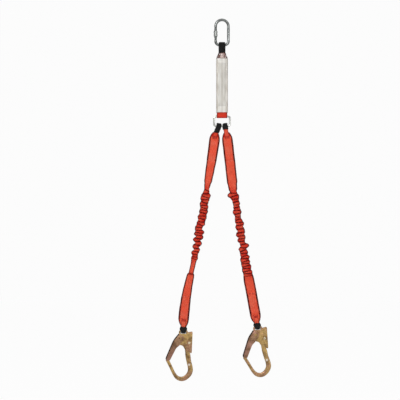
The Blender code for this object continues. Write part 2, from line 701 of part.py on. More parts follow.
# Centre-line of the forging from the head to the nose: u, v, width in the plane
FORGED_LINE = ((0.0110, -0.0440, 0.020), (0.0138, -0.0660, 0.0170), (0.0158, -0.0850, 0.0172),
               (0.0180, -0.0980, 0.0200), (0.0215, -0.1210, 0.0185), (0.0268, -0.1430, 0.0190),
               (0.0275, -0.1600, 0.0200), (0.0210, -0.1750, 0.0195), (0.0070, -0.1880, 0.0182),
               (-0.0090, -0.1922, 0.0170), (-0.0250, -0.1865, 0.0148), (-0.0375, -0.1710, 0.0124),
               (-0.0510, -0.1430, 0.0118), (-0.0650, -0.1145, 0.0124))
HEAD_LEFT = ((-0.0207, -0.0070), (-0.0215, -0.0180))
HEAD_KNUCKLE = 0.0135                # round the gate's rivet
HEAD_RIGHT = ((-0.0120, -0.0500), (0.0040, -0.0520), (0.0210, -0.0600), (0.0270, -0.0540),
              (0.0290, -0.0400), (0.0280, -0.0180), (0.0207, -0.0070))
HEAD_BEVEL = 0.0012
EYE_FLOOR = -0.0115
BOW_HALF = 0.0167
BOW_CORNER = 0.0045
BOW_FOOT = -0.0130
GATE_PLATE = ((-0.0175, -0.0115), (-0.0410, -0.0390), (-0.0715, -0.1095), (-0.0695, -0.1145),
              (-0.0560, -0.1175), (-0.0530, -0.1160), (-0.0300, -0.0620), (-0.0190, -0.0480))
GATE_KNUCKLE = 0.0140
GATE_HOLLOW = ((0.0200, 0.0), (-0.0600, 0.0), (-0.0900, -0.1000), (-0.0700, -0.1300),
               (-0.0604, -0.1285), (-0.0317, -0.0612), (-0.0270, -0.0560), (0.0200, -0.0560))
LEVER_PLATE = ((0.0205, -0.0180), (0.0135, -0.0070), (0.0345, -0.0035), (0.0370, -0.0060),
               (0.0338, -0.0870), (0.0320, -0.0890), (0.0285, -0.0880), (0.0190, -0.0600))
LEVER_KNUCKLE = 0.0080
LEVER_WAIST = (0.0225, -0.0270)
LEVER_HOLLOW = ((0.0, 0.0200), (0.0362, 0.0200), (0.0350, -0.0060), (0.0312, -0.1000), (0.0, -0.1000))
SPRING_SLOT = 0.0064
SPRING_POCKET = 0.0060
GATE_SPRING_ROOM = -0.0200           # from the rivet to the open side of the spring's slot
LEVER_SPRING_ROOM = 0.0150
SPRING_WIRE = 0.00062
SPRING_COILS = 3


def hook_body(side, pivot):
    """Forged hook: a bow, a flat head and a curved spine that ends in the nose."""
    line = []
    count = len(FORGED_LINE)
    for i in range(2 * count - 1):
        t = i / 2
        us = curve_value([(k, p[0]) for k, p in enumerate(FORGED_LINE)], t)
        vs = curve_value([(k, p[1]) for k, p in enumerate(FORGED_LINE)], t)
        ws = curve_value([(k, p[2]) for k, p in enumerate(FORGED_LINE)], t)
        line.append((us, vs, ws))
    rings = []
    for i, (u, v, width) in enumerate(line):
        before, after = line[max(i - 1, 0)], line[min(i + 1, len(line) - 1)]
        along = Vector((after[0] - before[0], 0.0, after[1] - before[1])).normalized()
        across = Vector((0.0, 1.0, 0.0)).cross(along)
        rings.append([Vector((u, 0.0, v)) + across * a + Vector((0.0, b, 0.0))
                      for a, b in flat_section(width, FORGING, 0.3)])
    body = loft(f"{side}_hook_body", rings, None, "gold_zinc", pivot)

    inner, shoulder = BOW_HALF - BOW_WIRE / 2, HEAD_LEFT[0][1]
    outline = [*HEAD_LEFT, *arc(GATE_PIVOT, HEAD_KNUCKLE, 160, 235, 6), *HEAD_RIGHT,
               (inner, shoulder), (inner, EYE_FLOOR), (-inner, EYE_FLOOR), (-inner, shoulder)]
    head = plate(f"{side}_hook_head", outline, HEAD)
    bevel = head.modifiers.new("edges", "BEVEL")
    bevel.width = HEAD_BEVEL
    bevel.segments = 1
    bevel.limit_method = "ANGLE"
    bevel.angle_limit = math.radians(50)
    boolean(body, head, "UNION")
    corner = BOW_CORNER
    path = [(-BOW_HALF, BOW_FOOT)] + arc((-BOW_HALF + corner, -corner), corner, 180, 90, 4)
    path += arc((BOW_HALF - corner, -corner), corner, 90, 0, 4) + [(BOW_HALF, BOW_FOOT)]
    boolean(body, wire(f"{side}_hook_bow", in_plane(path), BOW_WIRE / 2, 3), "UNION")
    body = made_mesh(body, "gold_zinc")

    for label, (u, v), reach in (("gate", GATE_PIVOT, GATE_SPRING_ROOM),
                                 ("lever", LEVER_PIVOT, LEVER_SPRING_ROOM)):
        boolean(body, cylinder(f"{side}_{label}_bore", PIN_RADIUS + GAP, 3 * HEAD, (u, 0, v), "Y", 16))
        slot = cylinder(f"{side}_{label}_slot", SPRING_POCKET, SPRING_SLOT, (u, 0, v), "Y", 16)
        boolean(body, slot)
        mouth = SPRING_POCKET - GAP
        low = (min(u, u + reach), -SPRING_SLOT / 2, v - mouth)
        high = (max(u, u + reach), SPRING_SLOT / 2, v + mouth)
        boolean(body, box(f"{side}_{label}_slot_mouth", low, high))
    return made_mesh(body, "gold_zinc")


def pressed_channel(name, outline, cavity, bore, material, pivot, place):
    """Two cheeks joined by a web: an outline with its middle cut away."""
    made = plate(name, outline, 2 * cheek_outer, material)
    boolean(made, plate(f"{name}_cavity", cavity, 2 * cheek_inner))
    boolean(made, cylinder(f"{name}_bore", PIN_RADIUS + GAP, 3 * HEAD, (bore[0], 0, bore[1]), "Y", 16))
    made = made_mesh(made, material)
    made.data.transform(Matrix.Translation((-place[0], 0.0, -place[1])))
    made.parent = pivot
    return made


def hook_gate(side, pivot):
    """Channel gate, its web towards the opening and its cheeks either side of the nose."""
    outline = [*GATE_PLATE, *arc(GATE_PIVOT, GATE_KNUCKLE, -75, 62, 8)]
    return pressed_channel(f"{side}_hook_gate", outline[::-1], GATE_HOLLOW, GATE_PIVOT, "brown_zinc",
                           pivot, GATE_PIVOT)


def hook_lever(side, pivot):
    """Channel lever at the back of the spine. Squeezing its foot frees the gate."""
    outline = [*LEVER_PLATE, *arc(LEVER_PIVOT, LEVER_KNUCKLE, 225, 120, 5), LEVER_WAIST]
    return pressed_channel(f"{side}_hook_lever", outline[::-1], LEVER_HOLLOW[::-1], LEVER_PIVOT,
                           "gold_zinc", pivot, LEVER_PIVOT)


def rivet(name, place, pivot):
    """A rivet along Y with a low head on each cheek."""
    seat = cheek_outer + GAP
    end = seat + RIVET_HEAD_HEIGHT
    half = [(0.0, end), (RIVET_HEAD - RIVET_CHAMFER, end), (RIVET_HEAD, seat + RIVET_RIM),
            (RIVET_HEAD, seat), (PIN_RADIUS, seat)]
    profile = half + [(radius, -z) for radius, z in half[::-1]]
    made = turned(name, profile, 16, "gold_zinc")
    made.data.transform(Matrix.Translation((place[0], 0.0, place[1])) @ Matrix.Rotation(
        math.radians(90), 4, "X"))
    made.parent = pivot
    return made


def torsion_spring(name, place, pivot):
    """Coil round a rivet, in the slot of the head."""
    length = SPRING_SLOT - 2 * (SPRING_WIRE + GAP)
    coil = helix(PIN_RADIUS + GAP + SPRING_WIRE, length, SPRING_COILS, 9)
    points = [(place[0] + x, z - length / 2, place[1] + y) for x, y, z in coil]
    return wire(name, points, SPRING_WIRE, 1, material="spring_steel", parent=pivot)


# Legs
def leg_ring(offset, s, half_width, half_depth, count=12):
    """An oval section of a leg."""
    ring = []
    for i in range(count):
        angle = math.tau * (i + 0.5) / count
        u = half_width * math.cos(angle)
        ring.append((offset + u, half_depth * math.sin(angle), -s))
    return ring


def make_leg(side):
    """One leg from its loop on the link down to its hook."""
    x, z = LEG_START[side]
    eye_x, eye_z = LEG_EYE[side]
    length = math.hypot(eye_x - x, eye_z - z)
    turn = math.atan2(x - eye_x, z - eye_z)
    lap = length - HOOK_LAP
    gather_from, gather_to = GATHER_FROM[side], GATHER_TO[side]

    def offset(s):
        return curve_value(BOW[side], min(1.0, max(0.0, s / length)))

    def strap(name, widths, sewn, pivot):
        """A strap with (place, width) stations, thicker where its end is sewn back."""
        def width_at(s):
            for (a, low), (b, high) in zip(widths, widths[1:]):
                if s <= b:
                    break
            return low + (high - low) * (s - a) / (b - a)

        ends = [sewn[0] - STEP, sewn[0], (sewn[0] + sewn[1]) / 2, sewn[1], sewn[1] + STEP]
        rings = []
        for s in sorted({a for a, _ in widths} | set(ends)):
            thickness = SEWN_THICKNESS if sewn[0] <= s <= sewn[1] else LAP_THICKNESS
            rings.append([(offset(s) + u, v, -s) for u, v in flat_section(width_at(s), thickness)])
        return loft(name, rings, None, "red_webbing", pivot)

    loop_x = math.copysign(LOOP_SPACING / 2, x)
    ring_loop_pivot = empty(f"{side}_ring_loop_pivot", (0, 0, ring_bottom_z - RING_TOP_Z), 0.0, ring_pivot)
    leg_pivot = empty(f"{side}_leg_pivot", (x, 0, z - ring_bottom_z), turn, ring_loop_pivot)
    lower_pivot = empty(f"{side}_lower_leg_pivot", (0, 0, -gather_to), 0.0, leg_pivot)
    bpy.context.view_layer.update()

    radius = RING_BAR / 2 + GAP + sleeve_half
    frames = webbing_loop((loop_x, ring_bottom_z), 0.0, (x, z), turn, radius, lap_y, LOOP_LAP, SLEEVE_STOP)
    wear_sleeve(f"{side}_ring_loop_wear_sleeve", frames, LOOP_WIDTH, ring_loop_pivot)
    looped_webbing(f"{side}_ring_loop_webbing", frames, webbing_width, ring_loop_pivot)

    widths = [*TAPER, (SHOULDER, STRAP_WIDTH)]
    widths += [(gather_from + s, width) for s, width in UPPER_NECKING[side]]
    strap(f"{side}_upper_strap", widths, (SHOULDER + STEP, UPPER_TAIL), leg_pivot)

    widths = [(gather_to + s, width) for s, width in LOWER_NECKING[side]]
    widths += [(lap - LOWER_TAIL / 2, STRAP_WIDTH), (lap - SHOULDER, STRAP_WIDTH)]
    widths += [(lap - s, width) for s, width in TAPER[::-1]]
    lower = strap(f"{side}_lower_strap", widths, (lap - LOWER_TAIL, lap - SHOULDER - STEP), None)
    lower.parent = leg_pivot
    bpy.context.view_layer.update()
    lower.data.transform(leg_pivot.matrix_world)
    hang(lower, lower_pivot)

    start, end = gather_from + GAP, gather_to - GAP
    core_stations = [start + (end - start) * i / 8 for i in range(9)]
    half_width, half_depth = CORE_WIDTH / 2, CORE_THICKNESS / 2
    bore = [leg_ring(offset(s), s, half_width + CORE_ROOM, half_depth + CORE_ROOM)
            for s in core_stations]
    core = [leg_ring(offset(s), s, half_width, half_depth) for s in core_stations]
    loft(f"{side}_elastic_core", core, None, "elastic", leg_pivot)
    upper_half, lower_half = UPPER_NECKING[side][-1][1] / 2, LOWER_NECKING[side][0][1] / 2
    turns = [(start, upper_half, upper_half), *RUFFLES[side], (end, lower_half, lower_half)]
    rings = []
    for i, (s, left, right) in enumerate(turns):
        depth = (RUFFLE_DEPTH + RUFFLE_DEPTH_SWING * (-1) ** i) / 2
        rings.append(leg_ring(offset(s) + (right - left) / 2, s, (right + left) / 2, depth))
    loft(f"{side}_gathered_sleeve", rings, bore, "red_webbing", leg_pivot)

    bpy.context.view_layer.update()
    lap_point = leg_pivot.matrix_world @ Vector((offset(lap), 0.0, -lap))
    radius = BOW_WIRE / 2 + GAP + sleeve_half
    frames = webbing_loop((eye_x, eye_z), HOOK_TILT[side], (lap_point.x, lap_point.z), turn, radius, lap_y,
                          LOOP_LAP, SLEEVE_STOP, hang_down=False)
    wear_sleeve(f"{side}_hook_loop_wear_sleeve", frames, LOOP_WIDTH, lower_pivot)
    looped_webbing(f"{side}_hook_loop_webbing", frames, webbing_width, lower_pivot)

    local_eye = lower_pivot.matrix_world.inverted() @ Vector((eye_x, 0.0, eye_z))
    hook_pivot = empty(f"{side}_hook_pivot", local_eye, HOOK_TILT[side] - turn, lower_pivot)
    gate_pin = empty(f"{side}_hook_gate_pivot", (GATE_PIVOT[0], 0, GATE_PIVOT[1]), 0.0, hook_pivot)
    lever_pin = empty(f"{side}_hook_lever_pivot", (LEVER_PIVOT[0], 0, LEVER_PIVOT[1]), 0.0, hook_pivot)
    hook_body(side, hook_pivot)
    hook_gate(side, gate_pin)
    hook_lever(side, lever_pin)
    rivet(f"{side}_hook_gate_rivet", GATE_PIVOT, hook_pivot)
    rivet(f"{side}_hook_lever_rivet", LEVER_PIVOT, hook_pivot)
    torsion_spring(f"{side}_hook_gate_spring", GATE_PIVOT, hook_pivot)
    torsion_spring(f"{side}_hook_lever_spring", LEVER_PIVOT, hook_pivot)


for leg_side in ("left", "right"):
    make_leg(leg_side)
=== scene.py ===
import bpy
import json
import math
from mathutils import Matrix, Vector, noise

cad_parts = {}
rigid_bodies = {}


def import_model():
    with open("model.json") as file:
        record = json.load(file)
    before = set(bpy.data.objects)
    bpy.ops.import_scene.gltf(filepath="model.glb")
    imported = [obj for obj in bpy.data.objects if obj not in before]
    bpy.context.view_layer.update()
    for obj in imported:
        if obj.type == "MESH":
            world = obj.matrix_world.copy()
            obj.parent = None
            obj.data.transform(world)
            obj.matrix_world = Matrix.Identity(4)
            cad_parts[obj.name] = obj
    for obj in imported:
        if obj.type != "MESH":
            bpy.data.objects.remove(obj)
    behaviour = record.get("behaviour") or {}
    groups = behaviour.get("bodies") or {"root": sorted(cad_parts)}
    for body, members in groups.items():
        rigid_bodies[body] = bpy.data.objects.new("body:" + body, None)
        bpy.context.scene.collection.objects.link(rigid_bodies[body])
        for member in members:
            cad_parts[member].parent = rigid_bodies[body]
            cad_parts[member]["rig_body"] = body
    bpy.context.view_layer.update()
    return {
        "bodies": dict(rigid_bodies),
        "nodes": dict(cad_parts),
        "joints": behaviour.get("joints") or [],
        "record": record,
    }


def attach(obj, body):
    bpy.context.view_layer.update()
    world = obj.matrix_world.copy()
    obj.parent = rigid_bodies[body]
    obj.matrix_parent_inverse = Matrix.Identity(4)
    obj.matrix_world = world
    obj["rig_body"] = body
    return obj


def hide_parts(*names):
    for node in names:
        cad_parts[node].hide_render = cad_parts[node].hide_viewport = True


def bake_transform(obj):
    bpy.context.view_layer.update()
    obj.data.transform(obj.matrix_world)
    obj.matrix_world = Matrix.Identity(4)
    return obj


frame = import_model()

# Twin shock-absorbing lanyard: webbing, stitching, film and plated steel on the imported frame.
# X is to the right in the picture, Z is up, and the camera looks along +Y.

sceneSettings = {
    "target": (-0.088, 0.0, -0.715),     # the middle of the picture
    "distance": 4.0,
    "fieldWidth": 1.6,                   # metres across the picture at the lanyard
    "sensor": 36.0,
    "floorZ": -1.72,
    "wallY": 6.0,
    "stageWidth": 14.0,
    "fill": 0.22,                        # what the world adds to matt surfaces
    "lamps": (                           # name, place, size, power, aimed at the target
        ("keyLamp", (-1.5, -3.4, 1.3), (1.6, 1.6), 78.0),
        ("fillLamp", (1.9, -3.2, -0.4), (1.8, 2.4), 32.0),
        ("rimLamp", (0.6, 1.9, 1.6), (2.4, 1.2), 16.0),
    ),
    "flags": (                           # dark cards that metal shows at its sides: place, size, turn
        ((-1.55, -0.9, -0.75), (1.1, 3.4), 62.0),
        ((1.45, -0.9, -0.75), (1.1, 3.4), -62.0),
        ((-2.5, -4.4, -0.6), (2.2, 5.0), 20.0),
        ((2.5, -4.4, -0.6), (2.2, 5.0), -20.0),
    ),
}

bpy.ops.object.select_all(action="DESELECT")
scene = bpy.context.scene
scene.view_settings.view_transform = "Standard"

cameraData = bpy.data.cameras.new("pictureCamera")
cameraData.sensor_width = sceneSettings["sensor"]
cameraData.lens = sceneSettings["sensor"] * sceneSettings["distance"] / sceneSettings["fieldWidth"]
camera = bpy.data.objects.new("pictureCamera", cameraData)
camera.location = Vector(sceneSettings["target"]) - Vector((0.0, sceneSettings["distance"], 0.0))
camera.rotation_euler = (math.radians(90), 0.0, 0.0)
scene.collection.objects.link(camera)
scene.camera = camera


class Sock:
    # A shader socket that takes part in Python sums

    def __init__(self, finish, socket):
        self.finish = finish
        self.socket = socket

    def maths(self, operation, first, second=0.0):
        return self.finish.node("ShaderNodeMath", {"operation": operation}, {0: first, 1: second})

    def __add__(self, other):
        return self.maths("ADD", self, other)

    __radd__ = __add__

    def __rsub__(self, other):
        return self.maths("SUBTRACT", other, self)

    def __mul__(self, other):
        return self.maths("MULTIPLY", self, other)

    __rmul__ = __mul__

    def sine(self):
        return self.maths("SINE", self)

    def clamped(self, low=0.0, high=1.0):
        return self.finish.node("ShaderNodeClamp", {}, {"Value": self, "Min": low, "Max": high})

    def ramped(self, low, high):
        return self.finish.node("ShaderNodeMapRange", {"interpolation_type": "SMOOTHSTEP"},
                                {"Value": self, "From Min": low, "From Max": high})


class Finish:
    # One material round a Principled shader

    def __init__(self, name, **fixed):
        self.material = bpy.data.materials.new(name)
        self.material.use_nodes = True
        self.nodes = self.material.node_tree.nodes
        self.links = self.material.node_tree.links
        self.shader = self.nodes["Principled BSDF"]
        self.set(**fixed)

    def node(self, kind, settings, inputs, out=0):
        made = self.nodes.new(kind)
        for key, value in settings.items():
            setattr(made, key, value)
        for key, value in inputs.items():
            self.feed(made.inputs[key], value)
        return Sock(self, made.outputs[out])

    def feed(self, socket, value):
        if isinstance(value, Sock):
            self.links.new(value.socket, socket)
        elif socket.type == "RGBA":
            socket.default_value = (*value, 1.0)
        else:
            socket.default_value = value

    def set(self, **values):
        for key, value in values.items():
            self.feed(self.shader.inputs[key.replace("_", " ")], value)

    def tint(self, factor, low, high):
        return self.node("ShaderNodeMix", {"data_type": "RGBA"}, {0: factor, 6: low, 7: high}, 2)

    def noise(self, scale, detail=3.0, vector=None):
        vector = vector or self.node("ShaderNodeTexCoord", {}, {}, "Object")
        return self.node("ShaderNodeTexNoise", {}, {"Vector": vector, "Scale": scale, "Detail": detail})

    def uv(self):
        spot = self.node("ShaderNodeUVMap", {"uv_map": "UVMap"}, {})
        return (self.node("ShaderNodeSeparateXYZ", {}, {0: spot}, 0),
                self.node("ShaderNodeSeparateXYZ", {}, {0: spot}, 1))

    def painted(self, name):
        return self.node("ShaderNodeAttribute", {"attribute_name": name}, {}, "Fac")

    def bump(self, height, distance, strength):
        return self.node("ShaderNodeBump", {}, {"Height": height, "Distance": distance,
                                                "Strength": strength})


clothLook = {
    "pick": 0.0017,              # along the strap, from one row of the weave to the next
    "yarn": 0.0012,
    "relief": 0.0004,
    # Tones: face, deep, edge and a lighter one that drifts in at random; deep and edge go on as painted shade
    # in creases and on rounded edges
    "red": ((0.98, 0.122, 0.060), (0.66, 0.010, 0.004), (0.080, 0.005, 0.004), (0.98, 0.25, 0.15)),
    "black": ((0.012, 0.012, 0.012), (0.004, 0.004, 0.004), (0.003, 0.003, 0.003), (0.030, 0.030, 0.031)),
}


def clothFinish(name, tones, rough=0.80, sheen=0.08):
    # Woven webbing. Its UV map is in metres: u across the section, v along the strap
    face, deep, edge, worn = tones
    cloth = Finish(name)
    cloth.shader.inputs["Sheen Weight"].default_value = sheen
    cloth.shader.inputs["Specular IOR Level"].default_value = 0.12
    cloth.shader.inputs["Sheen Roughness"].default_value = 0.45
    across, along = cloth.uv()
    pick = (along * (math.tau / clothLook["pick"]) + (across * 900.0).sine() * 0.7).sine()
    yarn = (across * (math.tau / clothLook["yarn"])).sine()
    weave = pick * 0.55 + yarn * 0.45
    drift = cloth.noise(30.0, 4.0)
    fuzz = cloth.noise(1500.0, 2.0)
    colour = cloth.tint(drift.ramped(0.42, 0.70) * 0.40, face, worn)
    colour = cloth.tint((weave * -0.14 + 0.10 + fuzz * 0.12).clamped(), colour, deep)
    # Painted deep and edge values darken the red: painted shade in creases, folds and on rounded edges, and a
    # darker red where a piece sets it
    colour = cloth.tint(cloth.painted("deep").clamped(), colour, deep)
    colour = cloth.tint(cloth.painted("edge").clamped(), colour, edge)
    cloth.set(Base_Color=colour, Roughness=(fuzz * 0.22 + (rough - 0.1)).clamped(),
              Normal=cloth.bump(weave + fuzz * 1.2, clothLook["relief"], 0.6))
    return cloth.material


metalLook = {       # material, roughness, rubbed share, then its middle, light, dark and drifting tone
    "zinc_steel": ("brightZincSteel", 0.21, 0.4, (0.24, 0.25, 0.245), (0.62, 0.63, 0.61),
                   (0.045, 0.05, 0.05), (0.13, 0.14, 0.135)),
    "sleeve_steel": ("knurledSleeveZinc", 0.30, 0.5, (0.38, 0.39, 0.375), (0.62, 0.63, 0.61),
                     (0.20, 0.21, 0.205), (0.34, 0.35, 0.33)),
    "barrel_steel": ("dullGateBarrel", 0.36, 0.4, (0.13, 0.135, 0.13), (0.36, 0.37, 0.36),
                     (0.05, 0.055, 0.055), (0.11, 0.115, 0.11)),
    "rivet_steel": ("brightRivetHead", 0.28, 0.5, (0.74, 0.61, 0.38), (0.90, 0.84, 0.70),
                    (0.50, 0.41, 0.27), (0.66, 0.56, 0.40)),
    "link_steel": ("weldedLinkZinc", 0.24, 0.5, (0.60, 0.60, 0.575), (0.80, 0.80, 0.77),
                   (0.42, 0.42, 0.41), (0.55, 0.56, 0.50)),
    "gold_zinc": ("goldPassivatedZinc", 0.34, 0.4, (0.43, 0.275, 0.100), (0.76, 0.60, 0.30),
                  (0.20, 0.112, 0.048), (0.36, 0.190, 0.115)),
    "brown_zinc": ("brownPassivatedZinc", 0.40, 0.35, (0.31, 0.180, 0.105), (0.52, 0.36, 0.22),
                   (0.17, 0.090, 0.050), (0.34, 0.175, 0.130)),
    # painted shade: near-black strips along the gate's outer edge
    "dark_rim": ("darkRolledRim", 0.45, 0.3, (0.030, 0.024, 0.020), (0.10, 0.075, 0.055),
                 (0.012, 0.010, 0.009), (0.030, 0.024, 0.020)),
    "spring_steel": ("springWire", 0.30, 0.4, (0.32, 0.32, 0.33), (0.50, 0.50, 0.50),
                     (0.16, 0.16, 0.16), (0.30, 0.30, 0.31)),
}
paintedHighlightTone = (0.96, 0.91, 0.82)


def metalFinish(name, rough, rubbed, middle, light, dark, hue):
    # Plated steel: passivation that drifts in colour, a fine grain, rubbed spots and a painted highlight
    # where a piece paints one
    steel = Finish(name, Metallic=1.0)
    cloud = steel.noise(38.0, 5.0)
    drift = steel.noise(21.0, 3.0)
    grain = steel.noise(1100.0, 2.0)
    scuff = steel.noise(240.0, 6.0)
    colour = steel.tint(drift.ramped(0.44, 0.58), middle, hue)
    colour = steel.tint(cloud.ramped(0.34, 0.56), dark, colour)
    colour = steel.tint(scuff.ramped(0.42, 0.82) * rubbed, colour, light)
    # Painted highlight, where a piece paints one
    colour = steel.tint(steel.painted("worn").clamped(), colour, paintedHighlightTone)
    steel.set(Base_Color=colour, Roughness=(cloud * 0.16 + grain * 0.12 + (rough - 0.13)).clamped(0.1, 0.9),
              Normal=steel.bump(grain * 0.5 + scuff, 0.0002, 0.35))
    return steel.material


def filmFinish():
    # Clear shrink film: milky at its edges, clearer over the label and where it is drawn in at the neck. Its
    # colour holds a painted highlight and painted shade across the front, painted shade towards the neck's
    # sides and a painted dark line in the fold above the pack
    film = Finish("clearShrinkFilm", IOR=1.5, Coat_Roughness=0.08, Coat_Weight=0.6)
    crease = film.noise(45.0, 4.0)
    fine = film.noise(260.0, 3.0)
    neck = film.painted("deep").clamped()
    # Painted highlight and painted shade across the front, from the shade attribute, with milky creases
    milkAndShade = film.tint(film.painted("shade").clamped(), (1.0, 0.98, 0.93), (0.56, 0.51, 0.44))
    milkAndShade = film.tint(crease.ramped(0.35, 0.75) * 0.30, milkAndShade, (0.86, 0.81, 0.70))
    # At the neck, a pinkish tint with painted shade towards the sides
    neckTintAndShade = film.tint((film.painted("shade") + (crease.ramped(0.42, 0.62) * -0.5 + 0.2)).clamped(),
                        (0.84, 0.70, 0.64), (0.13, 0.055, 0.045))
    colour = film.tint(film.painted("line").clamped(), film.tint(neck, milkAndShade, neckTintAndShade), (0.09, 0.05, 0.04))
    film.set(Base_Color=colour, Roughness=fine * 0.14 + 0.12,
             Normal=film.bump(crease + fine * 0.2, 0.0012, 0.4),
             Alpha=(film.painted("edge") + fine * 0.08).clamped())
    return film.material


labelLook = {"row": 0.0085, "margin": (0.0030, 0.0270), "paper": (0.88, 0.85, 0.76),
             "lighter": (0.97, 0.95, 0.89), "ink": (0.22, 0.22, 0.23)}


def labelFinish():
    # Label stock with ruled rows between two margins, and nothing written on it
    paper = Finish("ruledLabel")
    across, along = paper.uv()
    left, right = labelLook["margin"]
    row = (along * (math.tau / labelLook["row"])).sine().ramped(0.975, 0.998)
    inside = across.ramped(left, left + 0.0003) * (1.0 - across.ramped(right, right + 0.0003))
    mottle = paper.noise(60.0, 3.0)
    paper.set(Base_Color=paper.tint(row * inside * 0.40,
                                    paper.tint(mottle, labelLook["paper"], labelLook["lighter"]),
                                    labelLook["ink"]),
              Roughness=mottle * 0.2 + 0.42, Normal=paper.bump(mottle, 0.0004, 0.3))
    return paper.material


def elasticFinish():
    # Covered elastic, whose ribs are lighter than the cover between them
    band = Finish("coveredElastic")
    rib = band.noise(800.0, 3.0)
    band.set(Base_Color=band.tint(rib, (0.58, 0.56, 0.51), (0.80, 0.78, 0.73)),
             Roughness=rib * 0.2 + 0.7, Normal=band.bump(rib, 0.0004, 0.6))
    return band.material


def threadFinish(name, low, high):
    thread = Finish(name)
    twist = thread.noise(1300.0, 2.0)
    thread.set(Base_Color=thread.tint(twist, low, high), Roughness=twist * 0.3 + 0.5,
               Normal=thread.bump(twist, 0.0002, 0.5))
    return thread.material


finishes = {name: metalFinish(*look) for name, look in metalLook.items()}
finishes.update({
    "red_webbing": clothFinish("orangeRedWebbing", clothLook["red"]),
    "black_webbing": clothFinish("blackWearSleeve", clothLook["black"], 0.72, 0.0),
    "clear_film": filmFinish(),
    "label_stock": labelFinish(),
    "elastic": elasticFinish(),
    "red_thread": threadFinish("redThread", (0.82, 0.12, 0.07), (1.0, 0.45, 0.33)),
    "tack_thread": threadFinish("deepRedThread", (0.42, 0.016, 0.008), (0.70, 0.05, 0.028)),
})
print("finishes ready:", len(finishes))


def stageFinish(name):
    # The stage keeps the lanyard's shadow, and is white where camera or metal look at it
    plain = Finish(name, Base_Color=(0.9, 0.9, 0.9), Roughness=0.9)
    seen = plain.node("ShaderNodeLightPath", {}, {}, "Is Camera Ray")
    gloss = plain.node("ShaderNodeLightPath", {}, {}, "Is Glossy Ray")
    white = plain.node("ShaderNodeEmission", {}, {"Color": (1.0, 1.0, 1.0), "Strength": 1.0})
    both = plain.node("ShaderNodeMixShader", {}, {0: (seen * 0.96 + gloss * 0.60).clamped(),
                                                  1: Sock(plain, plain.shader.outputs[0]), 2: white})
    plain.links.new(both.socket, plain.nodes["Material Output"].inputs["Surface"])
    return plain.material


def makeStage():
    width = sceneSettings["stageWidth"]
    for name, place, turn in (("floor", (0.0, 0.0, sceneSettings["floorZ"]), 0.0),
                              ("wall", (0.0, sceneSettings["wallY"], 0.0), 90.0)):
        bpy.ops.mesh.primitive_plane_add(size=width, location=place,
                                         rotation=(math.radians(turn), 0.0, 0.0))
        sheet = bpy.context.active_object
        sheet.name = name
        bpy.ops.object.mode_set(mode="EDIT")
        bpy.ops.mesh.subdivide(number_cuts=3)
        bpy.ops.object.mode_set(mode="OBJECT")
        sheet.data.materials.append(stageFinish(name + "White"))
    for name, place, size, power in sceneSettings["lamps"]:
        bpy.ops.object.light_add(type="AREA", location=place)
        lamp = bpy.context.active_object
        lamp.name = name
        lamp.data.shape = "RECTANGLE"
        lamp.data.size, lamp.data.size_y = size
        lamp.data.energy = power
        aim = Vector(sceneSettings["target"]) - lamp.location
        lamp.rotation_euler = aim.to_track_quat("-Z", "Y").to_euler()
    dark = Finish("flagBlack", Base_Color=(0.03, 0.03, 0.03), Roughness=0.9).material
    for i, (place, size, turn) in enumerate(sceneSettings["flags"]):
        bpy.ops.mesh.primitive_plane_add(size=1.0, location=place,
                                         rotation=(math.radians(90), 0.0, math.radians(turn)))
        card = bpy.context.active_object
        card.name = f"flag{i + 1}"
        card.scale = (*size, 1.0)
        card.visible_camera = False
        card.visible_shadow = False
        card.data.materials.append(dark)
    scene.world = bpy.data.worlds.new("studio")
    scene.world.use_nodes = True
    nodes, links = scene.world.node_tree.nodes, scene.world.node_tree.links
    rays = nodes.new("ShaderNodeLightPath")
    seen = rays.outputs["Is Camera Ray"]
    for ray in ("Is Glossy Ray", "Is Transmission Ray"):
        either = nodes.new("ShaderNodeMath")
        either.operation = "MAXIMUM"
        links.new(seen, either.inputs[0])
        links.new(rays.outputs[ray], either.inputs[1])
        seen = either.outputs[0]
    strength = nodes.new("ShaderNodeMapRange")
    strength.inputs["To Min"].default_value = sceneSettings["fill"]
    strength.inputs["To Max"].default_value = 1.0
    links.new(seen, strength.inputs["Value"])
    links.new(strength.outputs[0], nodes["Background"].inputs["Strength"])
    nodes["Background"].inputs["Color"].default_value = (1.0, 1.0, 1.0, 1.0)


makeStage()
print("stage and camera ready")


# Every CAD node starts with the finish of its slot. The pieces below take the soft ones' place.
for node in frame["nodes"].values():
    slotName = node.data.materials[0].name.split(".")[0]
    node.data.materials[0] = finishes[slotName]


def deselect():
    if bpy.context.object and bpy.context.object.mode != "OBJECT":
        bpy.ops.object.mode_set(mode="OBJECT")
    bpy.ops.object.select_all(action="DESELECT")


def only(piece):
    deselect()
    piece.select_set(True)
    bpy.context.view_layer.objects.active = piece
    return piece


mergeDistance = 0.00001


def settle(piece, body, finish, *nodes):
    # Gives a finished piece its body, finish and slot, and the CAD nodes that it stands for
    only(piece)
    bpy.ops.object.transform_apply(location=True, rotation=True, scale=True)
    piece.data.materials.clear()
    piece.data.materials.append(finishes[finish])
    if body:
        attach(piece, body)
    if nodes:
        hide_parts(*nodes)
    return piece


def addModifier(piece, kind, **settings):
    only(piece)
    modifier = piece.modifiers.new(kind.lower(), kind)
    for key, value in settings.items():
        setattr(modifier, key, value)
    bpy.ops.object.modifier_apply(modifier=modifier.name)
    return piece


def smooth(piece, angle=50.0):
    only(piece)
    bpy.ops.object.shade_smooth_by_angle(angle=math.radians(angle))
    return piece


